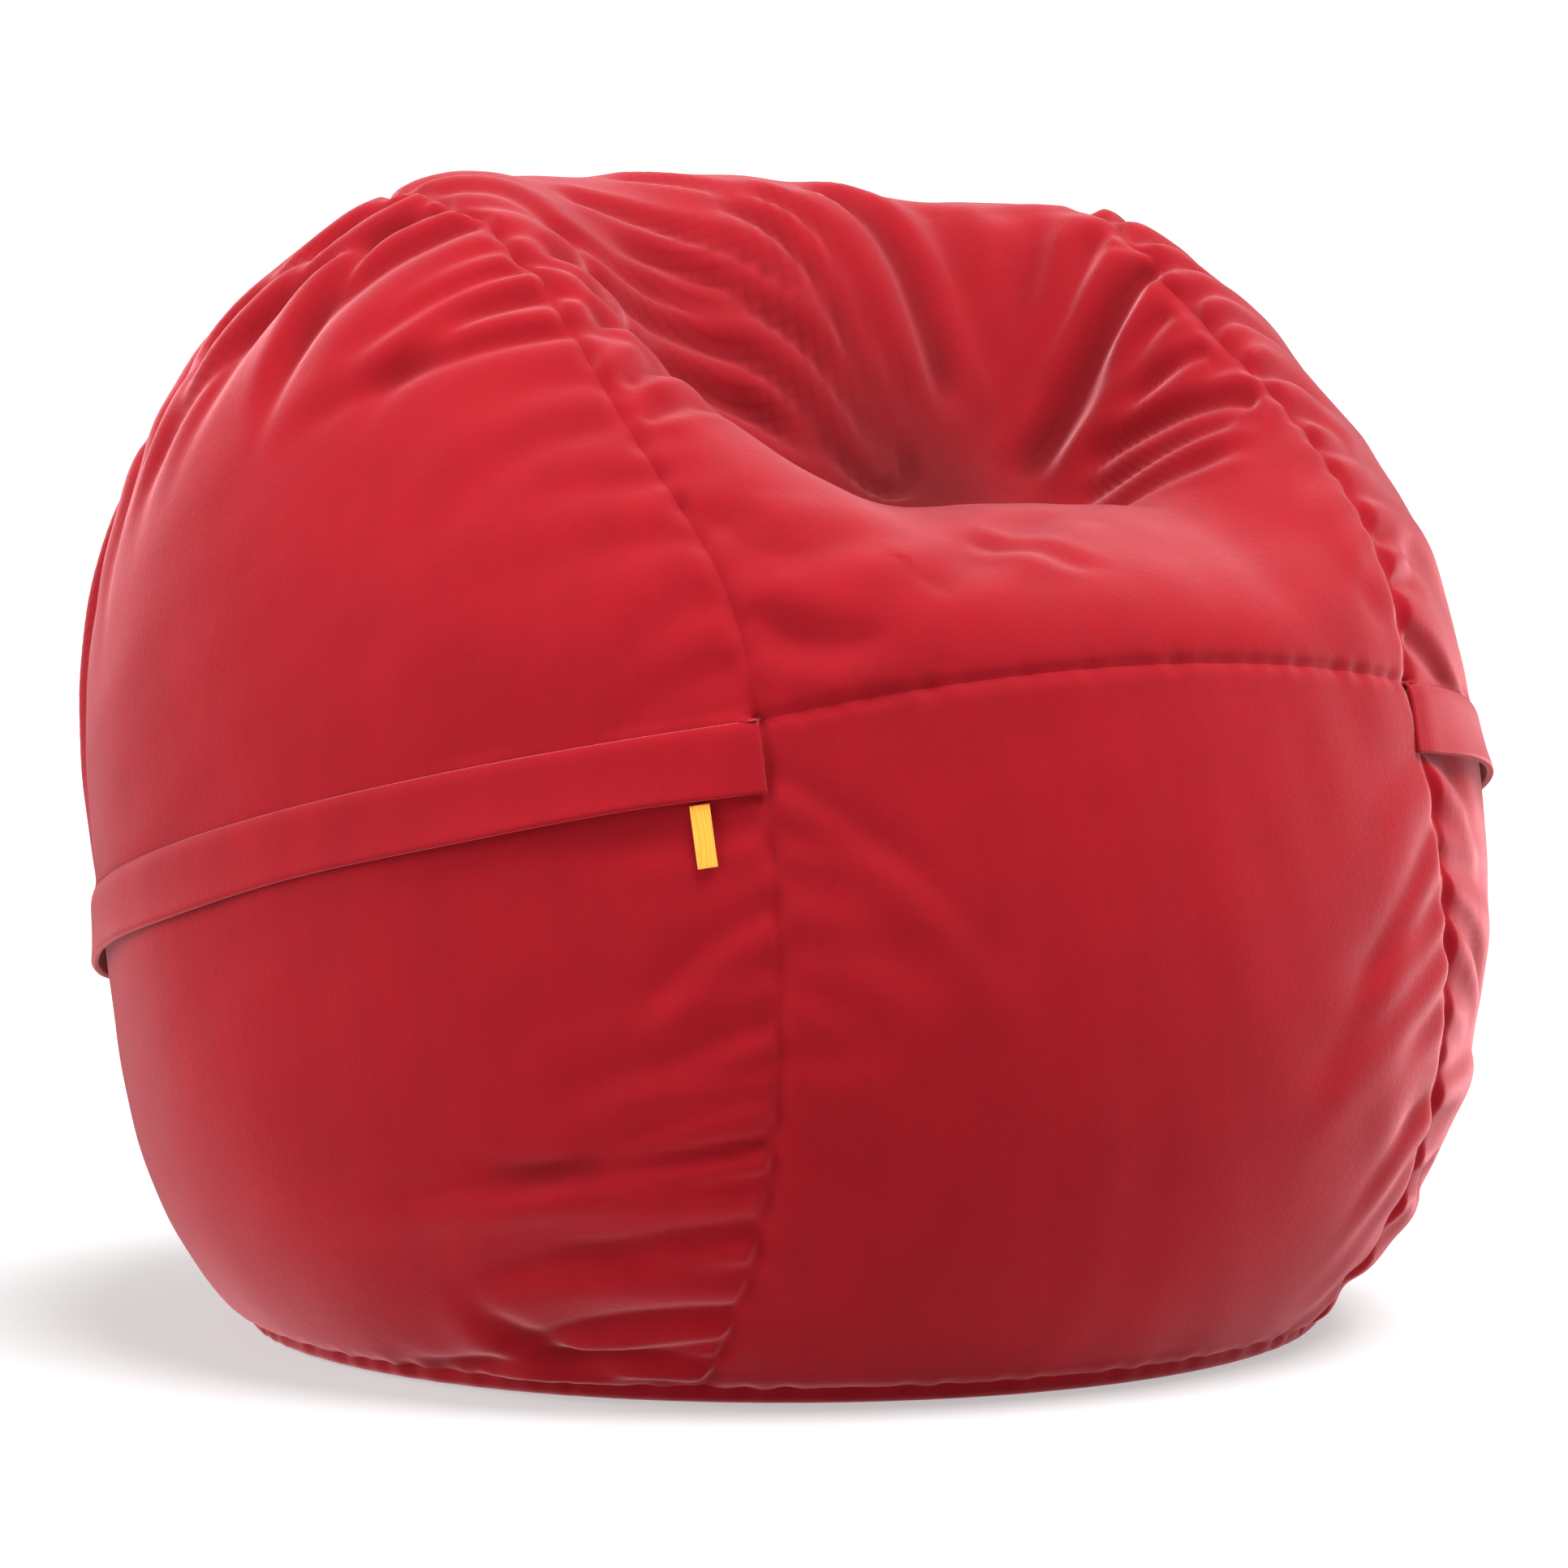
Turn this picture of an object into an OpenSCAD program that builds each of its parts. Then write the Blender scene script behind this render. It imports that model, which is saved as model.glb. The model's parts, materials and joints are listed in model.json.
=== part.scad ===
// Bean bag chair: a removable cover of eight panels with a hidden zip all round its back,
// a zipped liner bag inside it, and the bead filling.
// Millimetres. +Z is up, the front faces -Y, and the origin is under the middle of the base.

/* [Overall] */
// Diameter of the body at the flap seam
body_d = 942; // [800:2:1130]
// Height of the flap seam's middle above the floor
seam_h = 350; // [300:5:420]
// Height of the back above the flap seam
back_h = 495; // [420:1:600]
// Diameter of the circle that rests on the floor
base_d = 722; // [600:2:866]
// Tilt of the flap seam and zip, high in front and low behind
seam_tilt = 15.8; // [10:0.1:20]

/* [Seat] */
// Share by which the top is lower at the front roll
front_drop = 0.521; // [0.4:0.01:0.65]
// Share by which the seat hollow lowers the top
hollow = 0.362; // [0.3:0.01:0.45]
// Further share at the deepest place of the hollow
hollow_pocket = 0.3; // [0.1:0.01:0.34]
// From the hollow's middle to where it starts to rise to the left
hollow_flat_l = 52; // [20:2:140]
// From the hollow's middle to its rim on the left
hollow_rim_l = 252; // [230:2:300]
// From the hollow's middle to where it starts to rise to the right
hollow_flat_r = 130; // [20:2:160]
// From the hollow's middle to its rim on the right
hollow_rim_r = 284; // [230:2:320]

/* [Cover] */
// Half angle between the two front seams
seam_angle = 33; // [28:1:38]
// Thickness of the cover fabric with its backing
cover_t = 1.5; // [1:0.1:2]
// Rise of the front cross seam at its middle
seam_arch = 11; // [0:1:20]
// Width of the flap from its seam to its hem
flap_w = 48; // [40:1:56]
// Distance of the flap's hem from the cover
flap_stand = 4.5; // [3:0.5:8]

/* [Zip] */
// Distance of the zip below the flap's seam
zip_drop = 22; // [18:1:26]
// Width of one tape half, from the gap to its outer edge
tape_w = 16; // [12:1:18]
// Width of one coil half
coil_w = 3; // [2:0.1:3.5]
// Length of each zip slider
slider_l = 14; // [10:1:18]
// Length of the liner's zip
liner_zip_l = 330; // [250:10:400]

/* [Label] */
// Width of the plain ribbon label
label_w = 13; // [8:1:20]
// Length of the label below the hem
label_l = 41; // [25:1:50]
// Angle of the label past the left front seam
label_angle = 3; // [2:0.5:10]

/* [Hidden] */
$fn = 96;

fabric_red = "firebrick";
ribbon = "orange";
nylon = "darkred";
liner_white = "whitesmoke";
bead_white = "white";

body_r = body_d / 2;
base_r = base_d / 2;
tilt_c = cos(seam_tilt);
tilt_s = sin(seam_tilt);
// Roundness of the dome: 2 is an ellipsoid, larger is boxier.
dome_power = 2.47;
// Share of the tilt that the top loses as it rises, so that the back stands up.
straighten = 0.68;
// The left shoulder stands a little higher than the right one.
side_lean = 0.032;
// The lean is reckoned from this far below the top of the back.
straight_from = 48;
hollow_shift = 9;
// Places along the tilted top, as shares of the radius, front to back.
hollow_front = -0.582;
hollow_back = 0.452;
pocket_y = -0.285;
pocket_w = 0.234;
drop_front = -1;
drop_back = 0.242;

// Rows below the flap seam, measured along the tilted axis.
zip_edge = 7;
row_upper_edge = -(zip_drop - zip_edge);
row_lower_edge = -(zip_drop + zip_edge);
rows_top = 22;
rows_low = 7;
cols_side = 8;
cols_front = 10;

// How far the sides run straight on below the zip, as a share of its height.
belly = 0.5;

// Layers, as depths below the outside of the cover.
liner_depth = 7;
liner_t = 1;
fill_depth = liner_depth + liner_t + 1.5;
// How a layer's depth moves its base edge inwards and up.
base_in = 0.8;
base_up = 1.7;
base_t = 2;
base_gap = 2.6;

tape_t = 0.8;
tape_out = 3.6;
coil_t = 2;
tooth_gap = 0.6;
plate_t = 1.5;
slider_half = 5;
stop_angle = 0.9;
zip_margin = 2;
zip_start = -90 + seam_angle + zip_margin;
zip_turn = 360 - 2 * (seam_angle + zip_margin);
slider_angle = slider_l / body_r * 180 / PI;
flap_t = 2.4;
hem_t = 4.2;
label_t = 0.8;
label_clear = 0.9;
liner_base_z = base_up * liner_depth + 0.1;
slot_half = 6;

function smooth(a, b, x) =
    let (t = min(1, max(0, (x - a) / (b - a)))) t * t * (3 - 2 * t);

// From the tilted frame of the flap seam to the frame of the part.
function place(p, lean) =
    [p.x, p.y * tilt_c + p.z * tilt_s * lean, seam_h - p.y * tilt_s + p.z * tilt_c];
function turn(v) = [v.x, v.y * tilt_c + v.z * tilt_s, v.z * tilt_c - v.y * tilt_s];
function unit(v) = v / norm(v);

// Height of the top over the seam plane, without the seat hollow.
function envelope(x, y) =
    back_h * (1 - front_drop * (1 - smooth(drop_front, drop_back, y / body_r)))
    * (1 - side_lean * x / body_r);
// Share of that height that the seat hollow takes away.
function hollow_at(x, y) =
    (1 - smooth(hollow_flat_l, hollow_rim_l, hollow_shift - x))
    * (1 - smooth(hollow_flat_r, hollow_rim_r, x - hollow_shift))
    * (1 - smooth(hollow_front, hollow_back, y / body_r))
    * (hollow + hollow_pocket * exp(-pow((y / body_r - pocket_y) / pocket_w, 2)));

// The top: s runs across from -90 to 90, f from 0 at the front to 180 at the back.
function top_at(s, f) =
    let (
        u = sin(s),
        w = 0 - cos(s) * cos(f),
        rho = min(1, norm([u, w])),
        x = body_r * u,
        y = body_r * w,
        z = rho > 0.99999 ? 0
            : envelope(x, y) * pow(1 - pow(rho, dome_power), 1 / dome_power) * (1 - hollow_at(x, y))
    )
    place([x, y, z], 1 - straighten * z / (back_h - straight_from));
function on_seam(s, f) = f == 0 || f == 180 || abs(s) == 90;
function top_normal(s, f) =
    let (e = 0.4)
    on_seam(s, f) ? turn([sin(s), 0 - cos(s) * cos(f), 0])
    : unit(cross(top_at(min(89.9, s + e), f) - top_at(max(-89.9, s - e), f),
        top_at(s, min(179.9, f + e)) - top_at(s, max(0.1, f - e))));
function arch_at(s, c) =
    c == 1 && abs(s) < seam_angle ? seam_arch * (1 - pow(s / seam_angle, 2)) : 0;

// The sides: c is 1 in front and -1 behind, and h is the row from the flap seam down to the base.
function ring_at(s, c, z) = place([body_r * sin(s), 0 - body_r * cos(s) * c, z], 1);
function bezier(a, b, c, d, t) =
    a * pow(1 - t, 3) + b * 3 * t * pow(1 - t, 2) + c * 3 * t * t * (1 - t) + d * pow(t, 3);
function side_at(s, c, t) =
    let (
        a = ring_at(s, c, row_lower_edge),
        out = [sin(s), 0 - cos(s) * c, 0],
        d = out * base_r,
        reach = base_r / 7.2 + 0.2 * a.z,
        b = a - turn([0, 0, belly * a.z]),
        e = d + out * 0.72 * reach + [0, 0, 0.7 * reach]
    )
    bezier(a, b, e, d, t);
function side_normal(s, c, t) =
    let (
        e = 0.01,
        out = [sin(s), 0 - cos(s) * c, 0],
        down = side_at(s, c, t + e) - side_at(s, c, t - e),
        round = [cos(s) * c, sin(s), 0]
    )
    unit(cross(down, s == 90 || s == -90 ? [0, s / 90, 0] : round));

// A place on the surface is [0, s, f] on the top or [1, s, c, row] on the side, and d is its depth.
function at(k, d) =
    k[0] == 0 ? top_at(k[1], k[2]) + [0, 0, k[2] == 0 ? arch_at(k[1], 1) : 0]
        - top_normal(k[1], k[2]) * d
    : k[3] == 0 ? ring_at(k[1], k[2], 0) + [0, 0, arch_at(k[1], k[2])]
        - turn([sin(k[1]), 0 - cos(k[1]) * k[2], 0]) * d
    : k[3] == 1 ? ring_at(k[1], k[2], row_upper_edge) - turn([sin(k[1]), 0 - cos(k[1]) * k[2], 0]) * d
    : k[3] == 2 ? ring_at(k[1], k[2], row_lower_edge) - turn([sin(k[1]), 0 - cos(k[1]) * k[2], 0]) * d
    : k[3] == rows_low + 2 ? [sin(k[1]) * (base_r - base_in * d),
        0 - cos(k[1]) * k[2] * (base_r - base_in * d), base_up * d]
    : side_at(k[1], k[2], (k[3] - 2) / rows_low) - side_normal(k[1], k[2], (k[3] - 2) / rows_low) * d;

// Rows of the top lie closer together near the flap seam.
function row_angle(j) =
    j == 0 ? 0 : j == rows_top ? 180 : 180 * j / rows_top - 17.2 * sin(360 * j / rows_top);
function steps(a, b, n) = [for (i = [0:n]) i == n ? b : a + (b - a) * i / n];
function reverse(v) = [for (i = [len(v) - 1:-1:0]) v[i]];
function rest(v) = [for (i = [1:len(v) - 1]) v[i]];

left_cols = steps(-90, -seam_angle, cols_side);
mid_cols = steps(-seam_angle, seam_angle, cols_front);
right_cols = steps(seam_angle, 90, cols_side);
// Columns round the side, in the direction front, right, rear, left.
front_ring = [for (s = mid_cols) [s, 1]];
right_ring = concat([for (s = right_cols) [s, 1]], [for (s = rest(reverse(right_cols))) [s, -1]]);
rear_ring = [for (s = reverse(mid_cols)) [s, -1]];
left_ring = concat([for (s = rest(reverse(rest(left_cols)))) [s, -1]],
    [for (s = left_cols) [s, 1]]);
left_ring_whole = concat([[-seam_angle, -1]], left_ring);

function top_grid(cols) = [for (s = cols) [for (j = [0:rows_top]) [0, s, row_angle(j)]]];
function side_grid(ring, h0, h1) = [for (c = ring) [for (h = [h0:h1]) [1, c[0], c[1], h]]];

// Triangles of a grid of places at depth d. The top's columns and the side's turn opposite ways.
function grid_faces(g, d, turned) =
    let (p = [for (col = g) [for (k = col) at(k, d)]])
    [for (i = [0:len(g) - 2]) for (j = [0:len(g[0]) - 2])
        let (a = p[i][j], b = p[i + 1][j], c = p[i + 1][j + 1], e = p[i][j + 1])
        each (turned ? [[a, e, c], [a, c, b]] : [[a, b, c], [a, c, e]])];
function flip(faces) = [for (t = faces) [t[0], t[2], t[1]]];
// The narrow wall that joins two depths along a closed row of places. Each stretch meets in its
// middle, so that the walls of two neighbours are the same whichever way they are followed.
function wall_faces(loop, d0, d1) =
    [for (i = [0:len(loop) - 1])
        let (
            k = loop[i],
            n = loop[(i + 1) % len(loop)],
            a = at(k, d0),
            b = at(n, d0),
            c = at(n, d1),
            e = at(k, d1),
            m = (a + b + c + e) / 4
        )
        each [[a, b, m], [b, c, m], [c, e, m], [e, a, m]]];
module solid(faces) {
    real = [for (t = faces) if (t[0] != t[1] && t[1] != t[2] && t[0] != t[2]) t];
    corners = [for (i = [0:len(real) - 1]) [3 * i, 3 * i + 1, 3 * i + 2]];
    polyhedron(points = [for (t = real) each t], faces = corners);
}
// One sewn panel: its outside, its inside and the wall along its edge.
module panel(tops, sides, loop, d0, d1) {
    solid(concat(
        [for (g = tops) each grid_faces(g, d0, true)],
        [for (g = sides) each grid_faces(g, d0, false)],
        [for (g = tops) each flip(grid_faces(g, d1, true))],
        [for (g = sides) each flip(grid_faces(g, d1, false))],
        wall_faces(loop, d0, d1)));
}

// Edges of the panels, counter-clockwise as seen from outside.
function up_seam(s) = [for (j = [0:rows_top]) [0, s, row_angle(j)]];
function ring_row(ring, h) = [for (c = ring) [1, c[0], c[1], h]];
function column(s, c, h0, h1) = [for (h = [h0:(h1 > h0 ? 1 : -1):h1]) [1, s, c, h]];

module upper_side(cols, ring, s) {
    seam = s > 0 ? reverse(up_seam(s)) : up_seam(s);
    panel([top_grid(cols)], [side_grid(ring, 0, 1)],
        concat(ring_row(ring, 1), seam), 0, cover_t);
}
module lower_side(ring) {
    last = rows_low + 2;
    first_col = ring[0];
    last_col = ring[len(ring) - 1];
    panel([], [side_grid(ring, 2, last)],
        concat(ring_row(ring, last), rest(column(last_col[0], last_col[1], last, 2)),
            rest(reverse(ring_row(ring, 2))),
            rest(reverse(rest(column(first_col[0], first_col[1], last, 2))))),
        0, cover_t);
}
module zip_frame() {
    translate(place([0, 0, -zip_drop], 1)) rotate([-seam_tilt, 0, 0]) children();
}
// A strip round the zip's circle, between radii and heights counted from the body's radius.
module zip_arc(r0, r1, z0, z1, start, sweep) {
    rotate([0, 0, start]) rotate_extrude(angle = sweep)
        translate([body_r + r0, z0]) square([r1 - r0, z1 - z0]);
}

module seat_panel() {
    color(fabric_red) panel([top_grid(mid_cols)], [side_grid(rear_ring, 0, 1)],
        concat([for (s = mid_cols) [0, s, 0]], rest(up_seam(seam_angle)),
            ring_row(rear_ring, 1), reverse(rest(up_seam(-seam_angle)))),
        0, cover_t);
}
module left_upper_panel() {
    color(fabric_red) upper_side(left_cols, left_ring_whole, -seam_angle);
}
module right_upper_panel() {
    color(fabric_red) upper_side(right_cols, right_ring, seam_angle);
}
module front_panel() {
    last = rows_low + 2;
    color(fabric_red) panel([], [side_grid(front_ring, 0, last)],
        concat(ring_row(front_ring, last), rest(column(seam_angle, 1, last, 0)),
            rest(reverse(ring_row(front_ring, 0))), rest(reverse(rest(column(-seam_angle, 1, last, 0))))),
        0, cover_t);
}
module left_lower_panel() {
    color(fabric_red) lower_side(left_ring_whole);
}
module right_lower_panel() {
    color(fabric_red) lower_side(right_ring);
}
module rear_lower_panel() {
    color(fabric_red) lower_side(rear_ring);
}
module base_panel() {
    color(fabric_red) cylinder(r = base_r - base_gap, h = base_t);
}
// The flap is doubled fabric, sewn along its top and free at its hem.
module zip_flap() {
    hem_z = zip_drop - flap_w;
    color(fabric_red) zip_frame() rotate([0, 0, zip_start - zip_margin])
        rotate_extrude(angle = zip_turn + 2 * zip_margin) translate([body_r, 0]) polygon([
            [0.1, zip_drop], [1.2, zip_drop - 6], [1.6, 0], [flap_stand - 1, hem_z + 8],
            [flap_stand - 0.5, hem_z + 1.5], [flap_stand + 0.5, hem_z],
            [flap_stand + hem_t - 1, hem_z], [flap_stand + hem_t, hem_z + 1.5],
            [flap_stand + hem_t - 0.4, hem_z + 8], [1.6 + flap_t, 0],
            [1.2 + flap_t, zip_drop - 6], [0.9, zip_drop + 1]]);
}
module zip_tape_upper() {
    color(nylon) zip_frame()
        zip_arc(-tape_out - tape_t, -tape_out, tooth_gap, tape_w, zip_start, zip_turn);
}
module zip_tape_lower() {
    color(nylon) zip_frame()
        zip_arc(-tape_out - tape_t, -tape_out, -tape_w, -tooth_gap, zip_start, zip_turn);
}
module zip_coil_upper() {
    color(nylon) zip_frame() zip_arc(-tape_out, -tape_out + coil_t, tooth_gap, tooth_gap + coil_w,
        zip_start + stop_angle, zip_turn - 2 * stop_angle);
}
module zip_coil_lower() {
    color(nylon) zip_frame() zip_arc(-tape_out, -tape_out + coil_t, -tooth_gap - coil_w, -tooth_gap,
        zip_start + stop_angle, zip_turn - 2 * stop_angle);
}
module zip_end_stops() {
    color("silver") zip_frame() for (a = [zip_start + 0.1, zip_start + zip_turn - stop_angle + 0.1])
        zip_arc(-tape_out, -tape_out + coil_t, -tooth_gap - coil_w, tooth_gap + coil_w, a,
            stop_angle - 0.2);
}
// Two plates joined by the divider between the coil halves, with no pull.
module zip_slider() {
    start = zip_start + zip_turn - stop_angle - 0.5 - slider_angle;
    inner = -tape_out - tape_t - 0.5;
    outer = -tape_out + coil_t + 0.4;
    color("silver") zip_frame() {
        zip_arc(outer, outer + plate_t, -slider_half, slider_half, start, slider_angle);
        zip_arc(inner - plate_t, inner, -slider_half, slider_half, start, slider_angle);
        zip_arc(inner - 0.1, outer + 0.1, -tooth_gap / 2, tooth_gap / 2,
            start + slider_angle * 0.3, slider_angle * 0.4);
    }
}
module ribbon_label() {
    color(ribbon) zip_frame() rotate([0, 0, zip_start + zip_turn + zip_margin - label_angle])
        translate([body_r + 1.5, -label_w / 2, zip_drop - flap_w - label_clear - label_l])
            cube([label_t, label_w, label_l]);
}

module liner_side(cols, ring, s) {
    last = rows_low + 2;
    seam = s > 0 ? reverse(up_seam(s)) : up_seam(s);
    up_first = s > 0 ? 1 : -1;
    color(liner_white) panel([top_grid(cols)], [side_grid(ring, 0, last)],
        concat(ring_row(ring, last), rest(column(s, -up_first, last, 0)), rest(seam),
            rest(reverse(rest(column(s, up_first, last, 0))))),
        liner_depth, liner_depth + liner_t);
}
module liner_left_side() {
    liner_side(left_cols, left_ring_whole, -seam_angle);
}
module liner_right_side() {
    liner_side(right_cols, right_ring, seam_angle);
}
module liner_centre_band() {
    last = rows_low + 2;
    color(liner_white) panel([top_grid(mid_cols)],
        [side_grid(front_ring, 0, last), side_grid(rear_ring, 0, last)],
        concat(ring_row(front_ring, last), rest(column(seam_angle, 1, last, 0)),
            rest(up_seam(seam_angle)), rest(column(seam_angle, -1, 0, last)),
            rest(ring_row(rear_ring, last)), rest(column(-seam_angle, -1, last, 0)),
            rest(reverse(up_seam(-seam_angle))), rest(reverse(rest(column(-seam_angle, 1, last, 0))))),
        liner_depth, liner_depth + liner_t);
}
module liner_base() {
    color(liner_white) translate([0, 0, liner_base_z]) difference() {
        cylinder(r = base_r - base_in * liner_depth - base_gap, h = liner_t);
        translate([-liner_zip_l / 2, -slot_half, -1]) cube([liner_zip_l, 2 * slot_half, liner_t + 2]);
    }
}
module liner_strip(side, y0, y1, z0, z1, length) {
    translate([-length / 2, side > 0 ? y0 : -y1, z0]) cube([length, y1 - y0, z1 - z0]);
}
liner_tape_z = liner_base_z - tape_t - 0.1;
module liner_zip_tape_front() {
    color(liner_white)
        liner_strip(-1, tooth_gap, tape_w, liner_tape_z, liner_tape_z + tape_t, liner_zip_l);
}
module liner_zip_tape_rear() {
    color(liner_white)
        liner_strip(1, tooth_gap, tape_w, liner_tape_z, liner_tape_z + tape_t, liner_zip_l);
}
module liner_zip_coil_front() {
    color(liner_white) liner_strip(-1, tooth_gap, tooth_gap + coil_w, liner_tape_z - coil_t,
        liner_tape_z, liner_zip_l - 8);
}
module liner_zip_coil_rear() {
    color(liner_white) liner_strip(1, tooth_gap, tooth_gap + coil_w, liner_tape_z - coil_t,
        liner_tape_z, liner_zip_l - 8);
}
module liner_zip_end_stops() {
    color("silver") for (side = [-1, 1])
        translate([side * (liner_zip_l / 2 - 2) - 1.5, -tooth_gap - coil_w, liner_tape_z - coil_t])
            cube([3, 2 * (tooth_gap + coil_w), coil_t]);
}
module liner_zip_slider() {
    outer = liner_tape_z - coil_t - 0.4;
    inner = liner_tape_z + tape_t + 0.5;
    color("silver") translate([liner_zip_l / 2 - 4.5 - slider_l, 0, 0]) {
        translate([0, -slider_half, outer - plate_t]) cube([slider_l, 2 * slider_half, plate_t]);
        translate([0, -slider_half, inner]) cube([slider_l, 2 * slider_half, plate_t]);
        translate([slider_l * 0.3, -tooth_gap / 2, outer - 0.1])
            cube([slider_l * 0.4, tooth_gap, inner - outer + 0.2]);
    }
}
module bead_filling() {
    last = rows_low + 2;
    whole_ring = concat(front_ring, rest(right_ring), rest(rear_ring), rest(left_ring_whole));
    floor_z = base_up * fill_depth;
    floor_row = [for (c = whole_ring) at([1, c[0], c[1], last], fill_depth)];
    color(bead_white) solid(concat(
        grid_faces(top_grid(concat(left_cols, rest(mid_cols), rest(right_cols))), fill_depth, true),
        grid_faces(side_grid(whole_ring, 0, last), fill_depth, false),
        [for (i = [0:len(floor_row) - 2]) [floor_row[i], floor_row[i + 1], [0, 0, floor_z]]]));
}

seat_panel();
left_upper_panel();
right_upper_panel();
front_panel();
left_lower_panel();
right_lower_panel();
rear_lower_panel();
base_panel();
zip_flap();
zip_tape_upper();
zip_tape_lower();
zip_coil_upper();
zip_coil_lower();
zip_end_stops();
zip_slider();
ribbon_label();
liner_left_side();
liner_right_side();
liner_centre_band();
liner_base();
liner_zip_tape_front();
liner_zip_tape_rear();
liner_zip_coil_front();
liner_zip_coil_rear();
liner_zip_end_stops();
liner_zip_slider();
bead_filling();
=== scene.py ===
# %% [markdown]
# # A bean bag chair, one cell at a time
# The chair is a round fabric cover over a liner full of beads. Its sizes and the places of its
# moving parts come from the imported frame, so nothing here is fitted by eye. The cloth is modelled
# in this file: a fine net of faces is laid over the designed shape, the cloth simulation lets it
# gather and crease, and the net is then parted along its seams into the panels that are sewn
# together on the real chair.

# %% Load the frame
import json
import math

import bmesh
import bpy
import numpy as np
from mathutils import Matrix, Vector


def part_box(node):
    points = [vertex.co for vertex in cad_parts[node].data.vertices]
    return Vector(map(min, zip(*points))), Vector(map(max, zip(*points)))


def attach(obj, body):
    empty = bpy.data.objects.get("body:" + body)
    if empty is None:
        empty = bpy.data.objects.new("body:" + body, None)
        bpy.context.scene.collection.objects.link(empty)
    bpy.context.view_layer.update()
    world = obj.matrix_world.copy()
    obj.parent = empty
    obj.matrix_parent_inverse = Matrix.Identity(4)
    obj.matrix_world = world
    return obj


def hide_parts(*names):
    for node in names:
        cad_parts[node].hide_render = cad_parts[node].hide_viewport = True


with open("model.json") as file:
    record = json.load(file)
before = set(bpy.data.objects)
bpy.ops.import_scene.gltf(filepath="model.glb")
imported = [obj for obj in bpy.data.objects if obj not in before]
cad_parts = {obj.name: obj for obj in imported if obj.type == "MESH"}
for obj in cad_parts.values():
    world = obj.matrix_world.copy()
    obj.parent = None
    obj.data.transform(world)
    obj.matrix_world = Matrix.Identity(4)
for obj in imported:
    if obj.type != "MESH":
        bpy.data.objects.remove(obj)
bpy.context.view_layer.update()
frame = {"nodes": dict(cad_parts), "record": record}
MM = 0.001
BAG = "bag"

# %% [markdown]
# The zip's hinge in the record gives the tilted plane in which the flap is sewn: its axis is
# square to that plane, and its place is the middle of the zip's circle. The flap's own seam runs
# a fixed distance above the zip.

# %% Sizes that the frame gives
zip_joint = next(j for j in frame["record"]["behaviour"]["joints"] if j["name"] == "cover_zip")
plane_up = -np.array(zip_joint["axis"])
plane_up = plane_up / np.linalg.norm(plane_up)
plane_back = np.array([0.0, plane_up[2], -plane_up[1]])
ZIP_DROP = 22 * MM
ZIP_EDGE = 7 * MM
seam_centre = np.array(zip_joint["pos_m"]) + plane_up * ZIP_DROP
BODY_R = -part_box("left_upper_panel")[0][0]
BASE_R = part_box("base_panel")[1][0] + 2.6 * MM
BACK_H = 495 * MM
print("body radius", round(BODY_R, 4), "base radius", round(BASE_R, 4), "seam centre", seam_centre)

# %% [markdown]
# The shape of the top is a boxy dome that is lower in front, with the seat hollow taken out of
# it. The hollow falls gently from the left and more steeply from the right. Working on whole
# arrays of points keeps it quick: every function takes arrays. Places on the top are counted in
# body radii, x to the right and y to the back.

# %% The designed surface
DOME = 2.47
FRONT_DROP, DROP_BACK = 0.521, 0.242
SIDE_LEAN, STRAIGHTEN, STRAIGHT_FROM = 0.032, 0.68, 48 * MM
HOLLOW_MIDDLE, HOLLOW_DEEP = 0.019, 0.362
HOLLOW_LEFT, HOLLOW_RIGHT, HOLLOW_ALONG = (0.11, 0.535), (0.276, 0.603), (-0.582, 0.452)
POCKET_DEEP, POCKET_Y, POCKET_W = 0.30, -0.285, 0.234


def smooth(a, b, x):
    t = np.clip((x - a) / (b - a), 0, 1)
    return t * t * (3 - 2 * t)


def bell(x, centre, width):
    return np.exp(-((x - centre) / width) ** 2)


def place(x, y, z, lean=1.0):
    """Points of the tilted frame of the flap's seam, in the frame of the part."""
    out = np.stack([x, y * plane_back[1] + z * plane_up[1] * lean,
                    y * plane_back[2] + z * plane_up[2]], -1)
    return out + np.array([0, 0, seam_centre[2]])


def hollow(x, y):
    """Share of the height that the seat takes away."""
    off = x - HOLLOW_MIDDLE
    across = (1 - smooth(*HOLLOW_LEFT, -off)) * (1 - smooth(*HOLLOW_RIGHT, off))
    along = 1 - smooth(*HOLLOW_ALONG, y)
    return across * along * (HOLLOW_DEEP + POCKET_DEEP * bell(y, POCKET_Y, POCKET_W))


def top_height(x, y, rise):
    height = BACK_H * (1 - FRONT_DROP * (1 - smooth(-1, DROP_BACK, y))) * (1 - SIDE_LEAN * x)
    return height * rise * (1 - hollow(x, y))


def on_top(x, y, rise):
    z = top_height(x, y, rise)
    return place(x * BODY_R, y * BODY_R, z, 1 - STRAIGHTEN * z / (BACK_H - STRAIGHT_FROM))


def dome(a, b):
    """The place (x, y) and the dome's rise for a point (a, b) of the disc that is the net's plan."""
    r = np.minimum(1, np.hypot(a, b))
    safe = np.maximum(r, 1e-9)
    rho = np.sin(np.pi / 2 * r) ** (2 / DOME)
    rise = np.where(r > 0.99999, 0, np.cos(np.pi / 2 * np.minimum(r, 0.9999999)) ** (2 / DOME))
    return rho * np.where(r > 1e-9, a / safe, 1), rho * np.where(r > 1e-9, b / safe, 0), rise


# %% [markdown]
# The side falls straight through the zip and then follows one smooth curve to the base. The two
# seams of the front panel part a little as they go down, because the cloth is pulled sideways
# there, so the net's columns are turned with them.

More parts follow.
